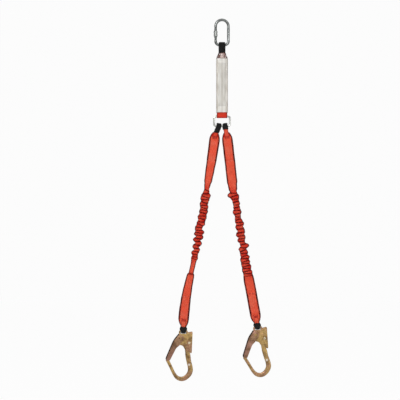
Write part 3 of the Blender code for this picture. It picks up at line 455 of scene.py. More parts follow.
def wrapped(name, around, along, spot, girth, run, marks=None, angle=60.0):
    # A grid that is wrapped into a tube or band and closed: spot(u, v) is the place of each of its
    # points, with u round the section and v along it, and marks(u, v) gives the numbers painted there
    deselect()
    bpy.ops.mesh.primitive_grid_add(x_subdivisions=around, y_subdivisions=along, size=1.0)
    piece = bpy.context.active_object
    piece.name = piece.data.name = name
    cells = [(vertex.co.x + 0.5, vertex.co.y + 0.5) for vertex in piece.data.vertices]
    for vertex, (u, v) in zip(piece.data.vertices, cells):
        vertex.co = spot(u, v)
    for corner in piece.data.uv_layers[0].data:
        corner.uv = (corner.uv[0] * girth, corner.uv[1] * run)
    if marks:
        values = [marks(u, v) for u, v in cells]
        for mark in values[0]:
            layer = piece.data.attributes.new(mark, "FLOAT", "POINT")
            for i, value in enumerate(values):
                layer.data[i].value = max(0.0, min(1.0, value[mark]))
    bpy.ops.object.mode_set(mode="EDIT")
    bpy.ops.mesh.select_all(action="SELECT")
    bpy.ops.mesh.remove_doubles(threshold=mergeDistance)
    bpy.ops.mesh.fill_holes(sides=0)
    bpy.ops.mesh.select_all(action="SELECT")
    bpy.ops.mesh.normals_make_consistent(inside=False)
    bpy.ops.object.mode_set(mode="OBJECT")
    return smooth(piece, angle)


def eased(points, t):
    # A smooth value through (place, value) pairs
    for (a, low), (b, high) in zip(points, points[1:]):
        if t <= b:
            break
    x = max(0.0, min(1.0, (t - a) / (b - a)))
    return low + (high - low) * x * x * (3.0 - 2.0 * x)


def bent(points, t):
    # The same, with one slope through each point, for lines that must not kink
    last = len(points) - 1
    i = max(0, min(last - 1, sum(1 for place, value in points[1:-1] if t >= place)))
    span = points[i + 1][0] - points[i][0]
    x = max(0.0, min(1.0, (t - points[i][0]) / span))

    def slope(k):
        before, after = points[max(k - 1, 0)], points[min(k + 1, last)]
        return (after[1] - before[1]) / (after[0] - before[0]) * span

    return (points[i][1] * (2 * x ** 3 - 3 * x * x + 1) + slope(i) * (x ** 3 - 2 * x * x + x)
            + points[i + 1][1] * (3 * x * x - 2 * x ** 3) + slope(i + 1) * (x ** 3 - x * x))


def ramp(low, high, t):
    return eased(((low, 0.0), (high, 1.0)), t)


def nearEnds(reach, t):
    # 1 at both ends of a run from 0 to 1, and 0 between
    return 1.0 - ramp(0.0, reach, t) + ramp(1.0 - reach, 1.0, t)


def swollen(value, power):
    # Pushes a cosine or sine outwards, so that a round section turns squarer
    return math.copysign(abs(value) ** power, value)


def onCircle(turn):
    return math.cos(math.tau * turn), math.sin(math.tau * turn)


def flatSection(u, width, thickness, faceSteps=14, edgeSteps=4):
    # Webbing's section, flat with round edges, from the front's left edge round to the back
    steps = faceSteps + edgeSteps
    half, edge = width / 2 - thickness / 2, thickness / 2
    k = (u * 2 * steps) % (2 * steps)
    turn, k = (1, k) if k < steps else (-1, k - steps)
    if k <= faceSteps:
        return turn * (-half + 2 * half * k / faceSteps), -turn * edge
    swing = math.pi * (k - faceSteps) / edgeSteps - math.pi / 2
    return turn * (half + edge * math.cos(swing)), turn * edge * math.sin(swing)


legLook = {
    "left": {"start": (-0.0275, -0.4570), "eye": (-0.1544, -1.2384), "gathers": (0.215, 0.505),
             "tilt": 0.0,
             "bow": ((0.0, 0.0), (0.13, 0.002), (0.35, 0.0), (0.62, -0.003), (0.80, -0.0105),
                     (0.93, -0.0075), (1.0, 0.0))},
    "right": {"start": (0.0195, -0.4570), "eye": (0.1420, -1.2228), "gathers": (0.226, 0.565),
              "tilt": -6.0,
              "bow": ((0.0, 0.0), (0.13, -0.004), (0.33, -0.011), (0.60, -0.008), (0.80, -0.003),
                      (1.0, 0.0))},
    "hookLap": 0.036,
}


class Leg:
    # One leg's middle line. s runs from the lap at the link down to the hook's eye

    def __init__(self, side):
        look = legLook[side]
        self.side = side
        self.bow = look["bow"]
        self.gathers = look["gathers"]
        self.start = Vector((look["start"][0], 0.0, look["start"][1]))
        self.eye = Vector((look["eye"][0], 0.0, look["eye"][1]))
        self.tilt = math.radians(look["tilt"])
        reach = self.eye - self.start
        self.length = reach.length
        self.down = reach / self.length
        self.across = Vector((-self.down.z, 0.0, self.down.x))
        self.turn = math.atan2(-self.down.x, -self.down.z)
        self.lap = self.length - legLook["hookLap"]

    def at(self, s, across=0.0, depth=0.0):
        drift = bent(self.bow, min(1.0, max(0.0, s / self.length)))
        place = self.start + self.down * s + self.across * (drift + across)
        place.y = depth
        return place


legs = {side: Leg(side) for side in ("left", "right")}


def wander(seed, place, scale):
    # A smooth random number between -1 and 1 that is the same on each run
    return noise.noise(Vector((place[0] * scale + seed, place[1] * scale - seed, place[2] * scale)))


stitchLook = {"length": 0.0031, "pitch": 0.0040, "radius": 0.00042, "sides": 6}


def stitched(name, places, body, finish="red_thread"):
    # One stitch is modelled and copied to each (middle, along, normal)
    deselect()
    bpy.ops.mesh.primitive_uv_sphere_add(segments=stitchLook["sides"], ring_count=4, radius=1.0)
    single = bpy.context.active_object
    corners = [vertex.co.copy() for vertex in single.data.vertices]
    faces = [tuple(face.vertices) for face in single.data.polygons]
    bpy.data.objects.remove(single)
    points, polygons = [], []
    half, radius = stitchLook["length"] / 2, stitchLook["radius"]
    for middle, along, normal in places:
        side = along.cross(normal).normalized()
        first = len(points)
        for corner in corners:
            points.append(middle + along * (corner.z * half) + side * (corner.x * radius)
                          + normal * (corner.y * radius * 1.3))
        polygons += [tuple(first + i for i in face) for face in faces]
    mesh = bpy.data.meshes.new(name)
    mesh.from_pydata(points, [], polygons)
    piece = bpy.data.objects.new(name, mesh)
    scene.collection.objects.link(piece)
    only(piece)
    bpy.ops.object.shade_smooth()
    return settle(piece, body, finish)


strapLook = {
    "width": 0.043,
    "single": 0.0030,
    "sewn": 0.0056,
    "taper": ((-0.0125, 0.0200), (-0.0110, 0.0250), (0.0, 0.0350), (0.0080, 0.0405), (0.0185, 0.043)),
    "hookDrop": 0.006,           # the lower taper reaches this much further down
    "upperTail": 0.106,
    "lowerTail": 0.098,
    "upperWidths": {
        "left": ((0.085, 0.0405), (0.135, 0.0365), (0.182, 0.0320), (0.198, 0.0255), (0.218, 0.0200)),
        "right": ((0.186, 0.0420), (0.200, 0.0370), (0.215, 0.0350), (0.229, 0.0260)),
    },
    "lowerWidths": {
        "left": ((0.502, 0.0235), (0.520, 0.0205), (0.558, 0.0200), (0.5635, 0.0285), (0.575, 0.0315),
                 (0.608, 0.0340), (0.632, 0.0370), (0.680, 0.0405)),
        "right": ((0.562, 0.0370), (0.573, 0.0410), (0.585, 0.0430)),
    },
    "pinch": {"left": 0.5620, "right": 0.5665},      # where a lower strap is drawn in, with painted shade in the fold
    "pleat": 0.0016,             # depth of the lengthwise folds where the strap narrows
    "edgeBand": (0.66, 0.74),    # share of the half width over which painted shade darkens the rounded edge
    "rows": 0.0028,
    "across": (0.0235, 0.0275, 0.0315, 0.0355),      # cross rows under the taper, from the lap
    "waves": (-0.0120, -0.0040, 0.0040, 0.0120),     # lengthwise rows
    "waveLength": 0.040,
    "waveHeight": 0.0030,
    "waviness": (0.0006, 0.0005),                    # out of its plane, and of its edges
    "margins": (0.008, 0.009),   # what the cross rows under the taper and at the end leave bare
    "crown": 0.0008,             # how much thicker a strap is along its middle
    "stepUp": 0.0006,            # half the way over which a sewn end's thickness starts or stops
}


def makeStrap(side, upper):
    leg = legs[side]
    look = strapLook
    if upper:
        first, last = look["taper"][0][0], leg.gathers[0] + 0.003
        tail = (look["taper"][-1][0], look["upperTail"])
        widths = [*look["taper"], *look["upperWidths"][side]]
        body, name = side + "_upper_leg", side + "_upper_strap"
    else:
        end = leg.lap + look["hookDrop"]
        first, last = leg.gathers[1] - 0.003, end - look["taper"][0][0]
        tail = (leg.lap - look["lowerTail"], end - look["taper"][-1][0])
        widths = [*look["lowerWidths"][side], (leg.lap - look["lowerTail"] / 2, look["width"])]
        widths += [(end - s, width) for s, width in look["taper"][::-1]]
        body, name = side + "_lower_leg", side + "_lower_strap"
    seed = {"left": 3.1, "right": 8.7}[side] + (0.0 if upper else 20.0)
    step = look["stepUp"]

    def thicknessAt(s):
        rise = ramp(tail[0] - step, tail[0] + step, s)
        fall = 1.0 - ramp(tail[1] - step, tail[1] + step, s)
        return look["single"] + (look["sewn"] - look["single"]) * rise * fall

    def widthAt(s):
        return eased(widths, s) if s < widths[-1][0] else widths[-1][1]

    def narrowing(s):
        return max(0.0, min(1.0, 1.0 - (widthAt(s) - 0.016) / 0.022))

    # More rows where the sewn end steps up
    rows = []
    s = first
    while s < last:
        rows.append(s)
        near = min(abs(s - tail[0]), abs(s - tail[1]))
        s += 0.0004 if near < 0.0012 else look["rows"]
    rows.append(last)

    def spot(u, v):
        s = rows[round(v * (len(rows) - 1))]
        width, thick = widthAt(s), thicknessAt(s)
        across, depth = flatSection(u, width, thick)
        share = across / (width / 2)
        folded = narrowing(s)
        ridge = math.cos(share * 7.5 + wander(seed, (s, 0.0, 0.0), 14.0) * 2.0)
        depth += look["pleat"] * folded * ridge
        depth += look["waviness"][0] * wander(seed, (s, across, 0.0), 30.0) * (1.0 - folded)
        depth -= look["crown"] * (1.0 - share * share) * (1.0 if depth < 0 else -1.0)
        across += look["waviness"][1] * wander(seed + 5.0, (s, 0.0, depth * 0.1), 40.0)
        return leg.at(s, across, depth)

    def marks(u, v):
        s = rows[round(v * (len(rows) - 1))]
        width = widthAt(s)
        across, depth = flatSection(u, width, thicknessAt(s))
        share = abs(across) / (width / 2)
        gatherEnd = abs(s - leg.gathers[0 if upper else 1])
        # Painted shade on the rounded edges and in the fold where a lower strap is drawn in; deep is also a
        # darker red at an upper strap's top and towards the gathers
        deep = 0.95 * (1.0 - ramp(0.0030, 0.0085, s)) if upper else 0.0
        deep = max(deep, 0.45 * (1.0 - ramp(0.002, 0.030, gatherEnd)))
        band = ramp(*look["edgeBand"], share)
        pinch = 0.85 * math.exp(-((s - look["pinch"][side]) / 0.0035) ** 2)
        edge = band * (0.95 - 0.25 * wander(seed, (s, across, 0.0), 60.0))
        return {"edge": max(pinch, edge), "deep": max(pinch, deep)}

    piece = wrapped(name + "_woven", 36, len(rows) - 1, spot, 2.1 * look["width"], last - first, marks)
    settle(piece, body, "red_webbing", name)

    # Stitching on both faces of the sewn end
    places = []
    half = look["sewn"] / 2 + look["crown"]

    def sew(s, across, ds, dacross):
        middle = leg.at(s, across)
        along = (leg.at(s + ds, across + dacross) - middle).normalized()
        share = across / (look["width"] / 2)
        for face in (-1.0, 1.0):
            lift = half - look["crown"] * share * share
            places.append((middle + Vector((0.0, face * lift, 0.0)), along, Vector((0.0, face, 0.0))))

    def sewAcross(run, margin):
        count = int((look["width"] - margin) / stitchLook["pitch"])
        for i in range(count):
            sew(run if upper else leg.lap - run, (i - (count - 1) / 2) * stitchLook["pitch"], 0.0, 0.001)

    for row in look["across"]:
        sewAcross(row, look["margins"][0])
    waveStart = look["across"][-1] + 0.004
    waveEnd = (tail[1] if upper else tail[1] - tail[0] + look["taper"][-1][0]) - 0.007
    for place in look["waves"]:
        count = int((waveEnd - waveStart) / stitchLook["pitch"])
        for i in range(count):
            run = waveStart + i * stitchLook["pitch"]
            phase = math.tau * run / look["waveLength"] + (0.0 if upper else 1.0)
            slope = look["waveHeight"] * math.cos(phase) * math.tau / look["waveLength"]
            s = run if upper else leg.lap - run
            sew(s, place + look["waveHeight"] * math.sin(phase), 0.001, 0.001 * slope * (1 if upper else -1))
    for beyond in (0.0025, 0.0050):
        sewAcross(waveEnd + beyond, look["margins"][1])
    stitched(name + "_stitching", places, body)


for side in legs:
    for upper in (True, False):
        makeStrap(side, upper)
print("straps sewn:", 2 * len(legs))


gatherLook = {
    "rows": 0.0012,
    "depth": 0.0098,             # half the thickness at the middle of a lobe
    "valley": 0.20,              # share of that left in a crease
    "fine": 0.0009,
    "jag": 0.0022,               # how far the tips of the lobes wander in and out
    "lean": 0.012,               # a lobe that reaches this much further on one side points that way
    # share of the half width over which painted shade darkens the sides
    "edgeBand": (0.70, 0.90),
    "least": 0.0030,             # half the thickness that is left at both ends
    "core": (0.0050, 0.0025),    # half width and half thickness of the elastic
    "ribs": (9, 0.08),
    "turns": {                   # place down the leg, reach to its left and to its right, in mm
        "left": ((215, 10, 10), (228, 11, 12), (244, 16, 20.5), (255, 18.5, 18), (266, 14.5, 16.5),
                 (278, 17.5, 16), (289, 13, 19.5), (298, 13, 17.5), (307, 14, 21.5), (320, 12.5, 18.5),
                 (333, 16, 20), (344, 12.5, 16.5), (357, 16, 18.5), (367, 15.5, 12), (379, 20, 9),
                 (390, 14, 21), (400, 19.5, 16), (411, 8, 20.5), (424, 19, 12), (437, 7, 19.5),
                 (452, 18, 9.5), (464, 7, 16.5), (476, 17.5, 11), (488, 11, 13), (497, 14, 13.5),
                 (505, 11.2, 11.2)),
        "right": ((226, 13, 13), (238, 25.5, 17), (250, 14, 21.5), (263, 7.5, 16.5), (275, 9, 20.5),
                  (285, 9, 15), (296, 7.5, 17), (309, 14, 21.5), (323, 8, 16), (335, 10, 13.5),
                  (345, 12.5, 18), (357, 8.5, 22), (370, 15, 16), (385, 7.5, 21.5), (400, 18, 17),
                  (412, 8.5, 18.5), (422, 16.5, 14), (434, 8, 14), (447, 7.5, 27.5), (459, 17.5, 13.5),
                  (471, 15.5, 16.5), (482, 16, 14), (493, 16, 20.5), (503, 20, 17), (513, 17.5, 18.5),
                  (523, 18.5, 17), (533, 18, 19), (543, 20, 16.5), (553, 18, 19), (565, 18.5, 18.5)),
    },
}


def makeGathers(side):
    leg, look = legs[side], gatherLook
    turns = [(s / 1000, left / 1000, right / 1000) for s, left, right in look["turns"][side]]
    points = [max(-1.0, min(1.0, (right - left) / look["lean"] + 0.6 * (-1) ** i))
              for i, (s, left, right) in enumerate(turns)]
    first, last = turns[0][0] - 0.002, turns[-1][0] + 0.002
    count = round((last - first) / look["rows"])
    seed = {"left": 41.0, "right": 63.0}[side]

    def between(s):
        # The lobe above s, and how far s is on the way to the next one
        for i, (a, b) in enumerate(zip(turns, turns[1:])):
            if s <= b[0]:
                break
        return i, max(0.0, min(1.0, (s - a[0]) / (b[0] - a[0])))

    def reachAt(s, way):
        # Round at a lobe's tip and sharp in the crease between two
        i, x = between(s)
        low, high = turns[i][way], turns[i + 1][way]
        x = math.sin(x * math.pi / 2) if high > low else 1.0 - math.sin((1.0 - x) * math.pi / 2)
        return low + (high - low) * x ** (0.9 if high > low else 1.0)

    def fold(s, across, back):
        # 1 along the middle of a lobe, 0 in the crease to the next: creases slant where lobes alternate
        i, x = between(s)
        place = i + x + 0.16 * wander(seed + back, (s, across * 0.012, 0.0), 70.0) + back * 0.5

        def crease(k):
            near, far = (points[max(0, min(len(points) - 1, i))] for i in (k, k + 1))
            return k + 0.5 + 0.92 * across * (near - far) / 4

        k = math.floor(place) - 2
        while crease(k + 1) < place:
            k += 1
        gap = max(0.05, crease(k + 1) - crease(k))
        t = max(0.0, min(1.0, (place - crease(k)) / gap))
        return math.sin(math.pi * t) ** 0.7 * min(1.0, gap ** 0.6)

    def spot(u, v):
        s = first + (last - first) * v
        c, d = onCircle(u)
        ends = ramp(first, first + 0.012, s) * (1.0 - ramp(last - 0.012, last, s))
        reach = reachAt(s, 2 if c > 0 else 1)
        reach += look["jag"] * ends * wander(seed + 6.0, (s, math.copysign(0.02, c), 0.0), 120.0)
        across = reach * swollen(c, 0.85)
        ridge = fold(s, c, 1.0 if d > 0 else 0.0)
        deep = look["depth"] * (look["valley"] + (1.0 - look["valley"]) * ridge)
        deep = look["least"] + (deep - look["least"]) * (0.25 + 0.75 * ends)
        depth = deep * swollen(d, 0.8)
        ripple = look["fine"] * ends * (wander(seed, (s, across, depth), 190.0)
                                        + 0.5 * wander(seed + 9.0, (s, across, depth), 420.0))
        return leg.at(s, across + ripple * c, depth + ripple * d * 1.3)

    def marks(u, v):
        s = first + (last - first) * v
        c, d = onCircle(u)
        # Painted shade in the creases between lobes and on the rounded sides, with a random drift; deep
        # darkens the creases as well
        crease = 1.0 - fold(s, c, 1.0 if d > 0 else 0.0)
        band = ramp(*look["edgeBand"], abs(c))
        drift = 0.12 * wander(seed + 3.0, (s, c * 0.02, 0.0), 80.0)
        dark = max(0.95 * ramp(0.20, 0.75, crease + drift),
                   band * (0.85 + 0.5 * wander(seed + 4.0, (s, c * 0.01, 0.0), 55.0)))
        deep = 0.45 + 0.9 * crease + 0.6 * wander(seed + 2.0, (s, c * 0.01, 0.0), 70.0)
        return {"edge": dark, "deep": deep}

    ruffled = wrapped(side + "_gathers_ruffled", 52, count, spot, 0.090, 2.1 * (last - first), marks, 70.0)

    def coreSpot(u, v):
        s = first + (last - first) * v
        c, d = onCircle(u)
        ribs = 1.0 + look["ribs"][1] * onCircle(u * look["ribs"][0])[0]
        return leg.at(s, look["core"][0] * ribs * c, look["core"][1] * ribs * d)

    ribbed = wrapped(side + "_elastic_ribbed", 36, 60, coreSpot, 0.026, last - first, angle=50.0)
    for piece, finish, node in ((ruffled, "red_webbing", "_gathered_sleeve"),
                                (ribbed, "elastic", "_elastic_core")):
        settle(piece, None, finish, side + node)
        tuple(leg.at(leg.gathers[0]))
        tuple(leg.at(leg.gathers[1]))
        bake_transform(piece)


for side in legs:
    makeGathers(side)
print("gathered sleeves ruffled")

loopLook = {
    "webbing": 0.0026,
    "sleeve": 0.0050,            # a wear sleeve's thickness, with the webbing in it
    "wall": 0.0009,
    "room": 0.0003,
    "swell": 0.0009,             # the sleeve rounds out this far away from the bar
    "step": 0.0015,
    "waviness": 0.0003,          # of the bare webbing
    "wrinkle": 0.00045,
    "rib": (0.00010, 0.0021),    # height and pitch of the woven ribs
    "rim": 0.0007,               # a sleeve's rolled rim stands out this far
    "gape": 0.0005,              # and its mouth is this much wider
    "tacks": (1.04, 1.30),       # shares of the way to the lap between which a loop is tacked
    "tackPitch": 0.0016,
    "tackLift": 0.0004,
    "tackMargin": 0.003,
    "bend": 14,                  # steps round the bar
    "left_ring": {"radius": 0.0068, "lapY": 0.0031, "tail": 0.013, "stop": 0.011, "width": 0.0220,
                  "bulge": 0.0030, "lift": 0.0022, "plump": 0.0010, "deep": 0.40},
    "right_ring": {"radius": 0.0068, "lapY": 0.0031, "tail": 0.013, "stop": 0.024, "width": 0.0220,
                   "bulge": 0.0030, "lift": 0.0026, "plump": 0.0010, "deep": 0.15},
    "hook": {"radius": 0.0068, "lapY": 0.0031, "tail": 0.013, "stop": 0.0185, "width": 0.0200,
             "bulge": 0.0100, "rise": 0.8, "lift": 0.0, "plump": 0.0008, "sag": 0.0008, "mouth": 0.05,
             "deep": 0.05},
    "neck": {"radius": 0.0090, "lapY": 0.0040, "tail": 0.0315, "stop": 0.004, "width": 0.0260,
             "bulge": 0.0016, "lift": 0.0, "plump": 0.0010, "flare": 0.0120, "deep": 0.55},
    "foot": {"radius": 0.0056, "lapY": 0.0056, "tail": 0.018, "stop": 0.002, "width": 0.0420, "deep": 0.60},
    "karabinerFoot": -0.0955,
    "linkTop": -0.3805,
    "linkBottom": -0.4190,
    "spacing": 0.0236,           # between the two loops on the link
    "neckLap": -0.1310,
    "footLap": -0.3645,
}


class Loop:
    # Webbing round a bar, from the end of the front arm over the bar to the end of the back one, in
    # steps of (centre, across, outward, share of the way to the lap, how far round beyond the bar)

    def __init__(self, look, bar, lap, barTurn=0.0, legTurn=0.0, down=1.0):
        self.look = look
        bar, lap = Vector((bar[0], 0.0, bar[1])), Vector((lap[0], 0.0, lap[1]))
        barAcross, barDown = self.axes(barTurn, down)
        legAcross, legDown = self.axes(legTurn, down)
        reach, step = (lap - bar).length, loopLook["step"]
        front = []
        for i in range(round(look["tail"] / step), 0, -1):
            front.append((lap + legDown * (i * step) - Vector((0.0, look["lapY"], 0.0)), legAcross,
                          1.0 + i * step / reach, 0.0))
        count = round(reach / step)
        for i in range(count, 0, -1):
            t = i / count
            depth = look["radius"] + (look["lapY"] - look["radius"]) * t
            front.append((bar.lerp(lap, t) - Vector((0.0, depth, 0.0)),
                          barAcross.lerp(legAcross, t).normalized(), t, 0.0))
        bend = []
        for i in range(loopLook["bend"] + 1):
            angle = math.pi * i / loopLook["bend"]
            bend.append((bar + Vector((0.0, -look["radius"] * math.cos(angle), 0.0))
                         - barDown * (look["radius"] * math.sin(angle)), barAcross, 0.0, math.sin(angle)))
        back = [(Vector((c.x, -c.y, c.z)), across, t, 0.0) for c, across, t, beyond in front[::-1]]
        line = front + bend + back
        self.frames = []
        for i, (centre, across, t, beyond) in enumerate(line):
            tangent = (line[min(i + 1, len(line) - 1)][0] - line[max(i - 1, 0)][0]).normalized()
            tangent -= across * across.dot(tangent)
            self.frames.append((centre, across, across.cross(tangent).normalized() * down, t, beyond))
        self.end = 1.0 - look["stop"] / reach
        self.covered = [frame for frame in self.frames if frame[3] <= self.end]

    def axes(self, turn, down):
        return (Vector((math.cos(turn), 0.0, -math.sin(turn))),
                Vector((math.sin(turn), 0.0, math.cos(turn))) * -down)


def makeLoopWebbing(name, loop, width, body, node, seed):
    last = len(loop.frames) - 1

    def spot(u, v):
        centre, across, outward, t, beyond = loop.frames[round(v * last)]
        wide = width + loop.look.get("flare", 0.0) * ramp(1.02, 1.45, t)
        a, d = flatSection(u, wide, loopLook["webbing"], 10, 4)
        share = a / (wide / 2)
        lift = loopLook["waviness"] * (wander(seed, centre, 120.0) + 1.0 - share * share)
        return centre + across * a + outward * (d + lift)

    def marks(u, v):
        t = loop.frames[round(v * last)][3]
        # Painted shade on the rounded edges; deep darkens the whole loop by its set amount
        share = abs(flatSection(u, width, loopLook["webbing"], 10, 4)[0]) / (width / 2)
        return {"edge": 0.6 * ramp(0.62, 0.95, share), "deep": loop.look["deep"]}

    piece = wrapped(name, 28, last, spot, 2.1 * width, last * loopLook["step"], marks)
    return settle(piece, body, "red_webbing", node)


def makeWearSleeve(name, loop, width, body, node, seed):
    # The wall goes down the outside and back up the inside, with a rolled rim at both ends
    frames, look = loop.covered, loop.look
    last = len(frames) - 1
    outer = math.copysign(1.0, frames[0][0].x)       # the side away from the lanyard's middle
    inner = loopLook["webbing"] + 2 * loopLook["room"]
    rows = [(frame, 0.0, i / last) for i, frame in enumerate(frames)]
    rim = [(frames[-1], 0.5, 1.0)]
    rows += rim + [(frame, 1.0, i / last) for i, frame in reversed(list(enumerate(frames)))]
    rows += [(frames[0], 0.5, 0.0), (frames[0], 0.0, 0.0)]

    def spot(u, v):
        (centre, across, outward, t, beyond), depth, run = rows[round(v * (len(rows) - 1))]
        mouth = look.get("mouth", 0.4)
        belly = math.sin(math.pi * min(1.0, t / loop.end) ** look.get("rise", 0.7))
        belly = belly * (1.0 - mouth) + mouth * (1.0 - beyond)
        wide = width + look["bulge"] * belly * (1.0 - beyond) - 2 * loopLook["wall"] * depth
        thick = loopLook["sleeve"] - (loopLook["sleeve"] - inner) * depth
        a, d = flatSection(u, wide, thick, 12, 6)
        share = a / (wide / 2)
        ends = nearEnds(0.10, run)
        if d > 0:
            d += (loopLook["swell"] + look["plump"] * (1.0 - beyond) * (1.0 - depth)) * (1.0 - share * share)
            d += look["lift"] * (0.5 + 0.5 * share * outer) * (beyond + 0.3 * (1.0 - t)) * (1.0 - 0.5 * depth)
            shoulder = (2.0 * beyond) ** 2 * (1.0 - beyond * beyond)     # most at 45 degrees round the bar
            d += look.get("sag", 0.0) * shoulder * (1.0 - share * share) * (1.0 - 0.2 * depth)
            a *= 1.0 + 8.0 * look.get("sag", 0.0) * shoulder
        wrinkle = wander(seed, (centre.x * 0.4 + a, centre.y * 2.0, centre.z * 2.0), 150.0)
        rib = loopLook["rib"][0] * math.cos(a * math.tau / loopLook["rib"][1])
        d += (loopLook["wrinkle"] * wrinkle + rib) * (1.0 if d > 0 else 0.3)
        a += loopLook["gape"] * ends * math.copysign(1.0, a) * (1.0 - depth)
        edge = loopLook["rim"] * (1.0 if depth == 0.5 else 0.0) * (1.0 if run > 0.5 else -1.0)
        tangent = outward.cross(across).normalized()
        return centre + across * a + outward * d + tangent * edge

    def marks(u, v):
        run = rows[round(v * (len(rows) - 1))][2]
        return {"edge": 0.0, "deep": 0.5 * nearEnds(0.08, run)}

    piece = wrapped(name, 36, len(rows) - 1, spot, 2.1 * width, len(rows) * loopLook["step"], marks)
    return settle(piece, body, "black_webbing", node)


def makeBarTacks(name, loop, width, body):
    # Close rows of stitches that hold both arms of a loop to the strap between them
    places = []
    for centre, across, outward, t, beyond in loop.frames:
        if t < loopLook["tacks"][0] or t > loopLook["tacks"][1]:
            continue
        tangent = outward.cross(across).normalized()
        count = int((width - loopLook["tackMargin"]) / loopLook["tackPitch"])
        lift = loopLook["webbing"] / 2 + loopLook["tackLift"]
        for i in range(count):
            a = (i - (count - 1) / 2) * loopLook["tackPitch"]
            slant = (tangent + across * (0.5 if i % 2 else -0.5)).normalized()
            places.append((centre + across * a + outward * lift, slant, outward))
    return stitched(name, places, body, "tack_thread")


neckLoop = Loop(loopLook["neck"], (0.0, loopLook["karabinerFoot"]), (0.0, loopLook["neckLap"]))
footLoop = Loop(loopLook["foot"], (0.0, loopLook["linkTop"]), (0.0, loopLook["footLap"]), down=-1.0)
inset = 2 * (loopLook["wall"] + loopLook["room"])
makeLoopWebbing("neck_loop_woven", neckLoop, loopLook["neck"]["width"] - inset, "absorber",
                "absorber_top_loop", 2.0)
makeWearSleeve("neck_wear_sleeve_woven", neckLoop, loopLook["neck"]["width"], "absorber",
               "top_loop_wear_sleeve", 4.0)
makeLoopWebbing("foot_loop_woven", footLoop, loopLook["foot"]["width"], "absorber",
                "absorber_bottom_loop", 6.0)
for side, leg in legs.items():
    barX = math.copysign(loopLook["spacing"] / 2, leg.start.x)
    lapEnd = leg.at(leg.lap)
    wide = loopLook["hook"]["width"]
    ends = (("ring", Loop(loopLook[side + "_ring"], (barX, loopLook["linkBottom"]),
                          (leg.start.x, leg.start.z), 0.0, leg.turn), side + "_ring_loop"),
            ("hook", Loop(loopLook["hook"], (leg.eye.x, leg.eye.z), (lapEnd.x, lapEnd.z),
                          leg.tilt, leg.turn, -1.0), side + "_lower_leg"))
    for i, (end, loop, body) in enumerate(ends):
        name, seed = f"{side}_{end}", 11.0 + 7.0 * i + leg.turn
        makeLoopWebbing(name + "_loop_woven", loop, wide - inset, body, name + "_loop_webbing", seed)
        makeWearSleeve(name + "_wear_sleeve_woven", loop, wide, body, name + "_loop_wear_sleeve", seed + 3.0)
        makeBarTacks(name + "_loop_bar_tacks", loop, wide - inset, body)
print("loops and wear sleeves ready")


def rounded(points, radius, steps=4, loose=False):
    # An outline with its corners turned in small arcs. A loose one keeps its two ends as they are
    result = []
    for i, corner in enumerate(points):
        here = Vector(corner)
        if loose and i in (0, len(points) - 1):
            result.append(corner)
            continue
        before, after = Vector(points[i - 1]) - here, Vector(points[(i + 1) % len(points)]) - here
        reach = min(radius, before.length * 0.45, after.length * 0.45)
        first, last = here + before.normalized() * reach, here + after.normalized() * reach
        for k in range(steps + 1):
            t = k / steps
            result.append(tuple(first * (1 - t) ** 2 + here * (2 * t * (1 - t)) + last * t * t))
    return result


def arcPoints(centre, radius, start, end, steps):
    turns = [math.radians(start + (end - start) * i / steps) for i in range(steps + 1)]
    return [(centre[0] + radius * math.cos(a), centre[1] + radius * math.sin(a)) for a in turns]


def plate(name, outline, thickness):
    # A flat outline in the XZ plane, extruded through its thickness along Y
    deselect()
    bpy.ops.mesh.primitive_circle_add(vertices=len(outline), fill_type="NGON")
    piece = bpy.context.active_object
    piece.name = piece.data.name = name
    for vertex, (x, z) in zip(piece.data.vertices, outline):
        vertex.co = (x, -thickness / 2, z)
    bpy.ops.object.mode_set(mode="EDIT")
    bpy.ops.mesh.select_all(action="SELECT")
    bpy.ops.mesh.extrude_region_move(TRANSFORM_OT_translate={"value": (0.0, thickness, 0.0)})
    bpy.ops.mesh.select_all(action="SELECT")
    bpy.ops.mesh.normals_make_consistent(inside=False)
    bpy.ops.object.mode_set(mode="OBJECT")
    return piece


def drum(radius, length, place, sides=40):
    # A cylinder along Y at (x, z)
    deselect()
    bpy.ops.mesh.primitive_cylinder_add(vertices=sides, radius=radius, depth=length,
                                        location=(place[0], 0.0, place[1]),
                                        rotation=(math.radians(90), 0.0, 0.0))
    piece = bpy.context.active_object
    bpy.ops.object.transform_apply(location=True, rotation=True, scale=True)
    return piece


def cut(piece, tool):
    addModifier(piece, "BOOLEAN", object=tool, operation="DIFFERENCE", solver="EXACT")
    bpy.data.objects.remove(tool)
    return piece


def softEdges(piece, width, segments=3, angle=35.0):
    addModifier(piece, "BEVEL", width=width, segments=segments, limit_method="ANGLE",
                angle_limit=math.radians(angle), use_clamp_overlap=True)
    return smooth(piece, angle)


def rod(name, middle, radius, along, around=20, closed=False):
    # Round bar along a flat curve: middle(v) is (x, z), radius(v) its radius
    def spot(u, v):
        ways = (v - 0.001, v + 0.001, v)
        ways = [way % 1.0 if closed else max(0.0, min(1.0, way)) for way in ways]
        before, after, (x, z) = (middle(way) for way in ways)
        way = (Vector(after) - Vector(before)).normalized()
        r, (c, s) = radius(v), onCircle(u)
        return Vector((x - way.y * r * c, -r * s, z + way.x * r * c))

    return wrapped(name, around, along, spot, 0.03, 0.3, angle=40.0)


def alongLine(points):
    # The place at a share of the length of a polyline, for rods
    lengths = [0.0]
    for a, b in zip(points, points[1:]):
        lengths.append(lengths[-1] + (Vector(b) - Vector(a)).length)

    def at(v):
        s = v * lengths[-1]
        i = max(k for k in range(len(points) - 1) if lengths[k] <= s + 1e-9)
        t = (s - lengths[i]) / (lengths[i + 1] - lengths[i])
        return tuple(Vector(points[i]).lerp(Vector(points[i + 1]), min(1.0, t)))

    return at


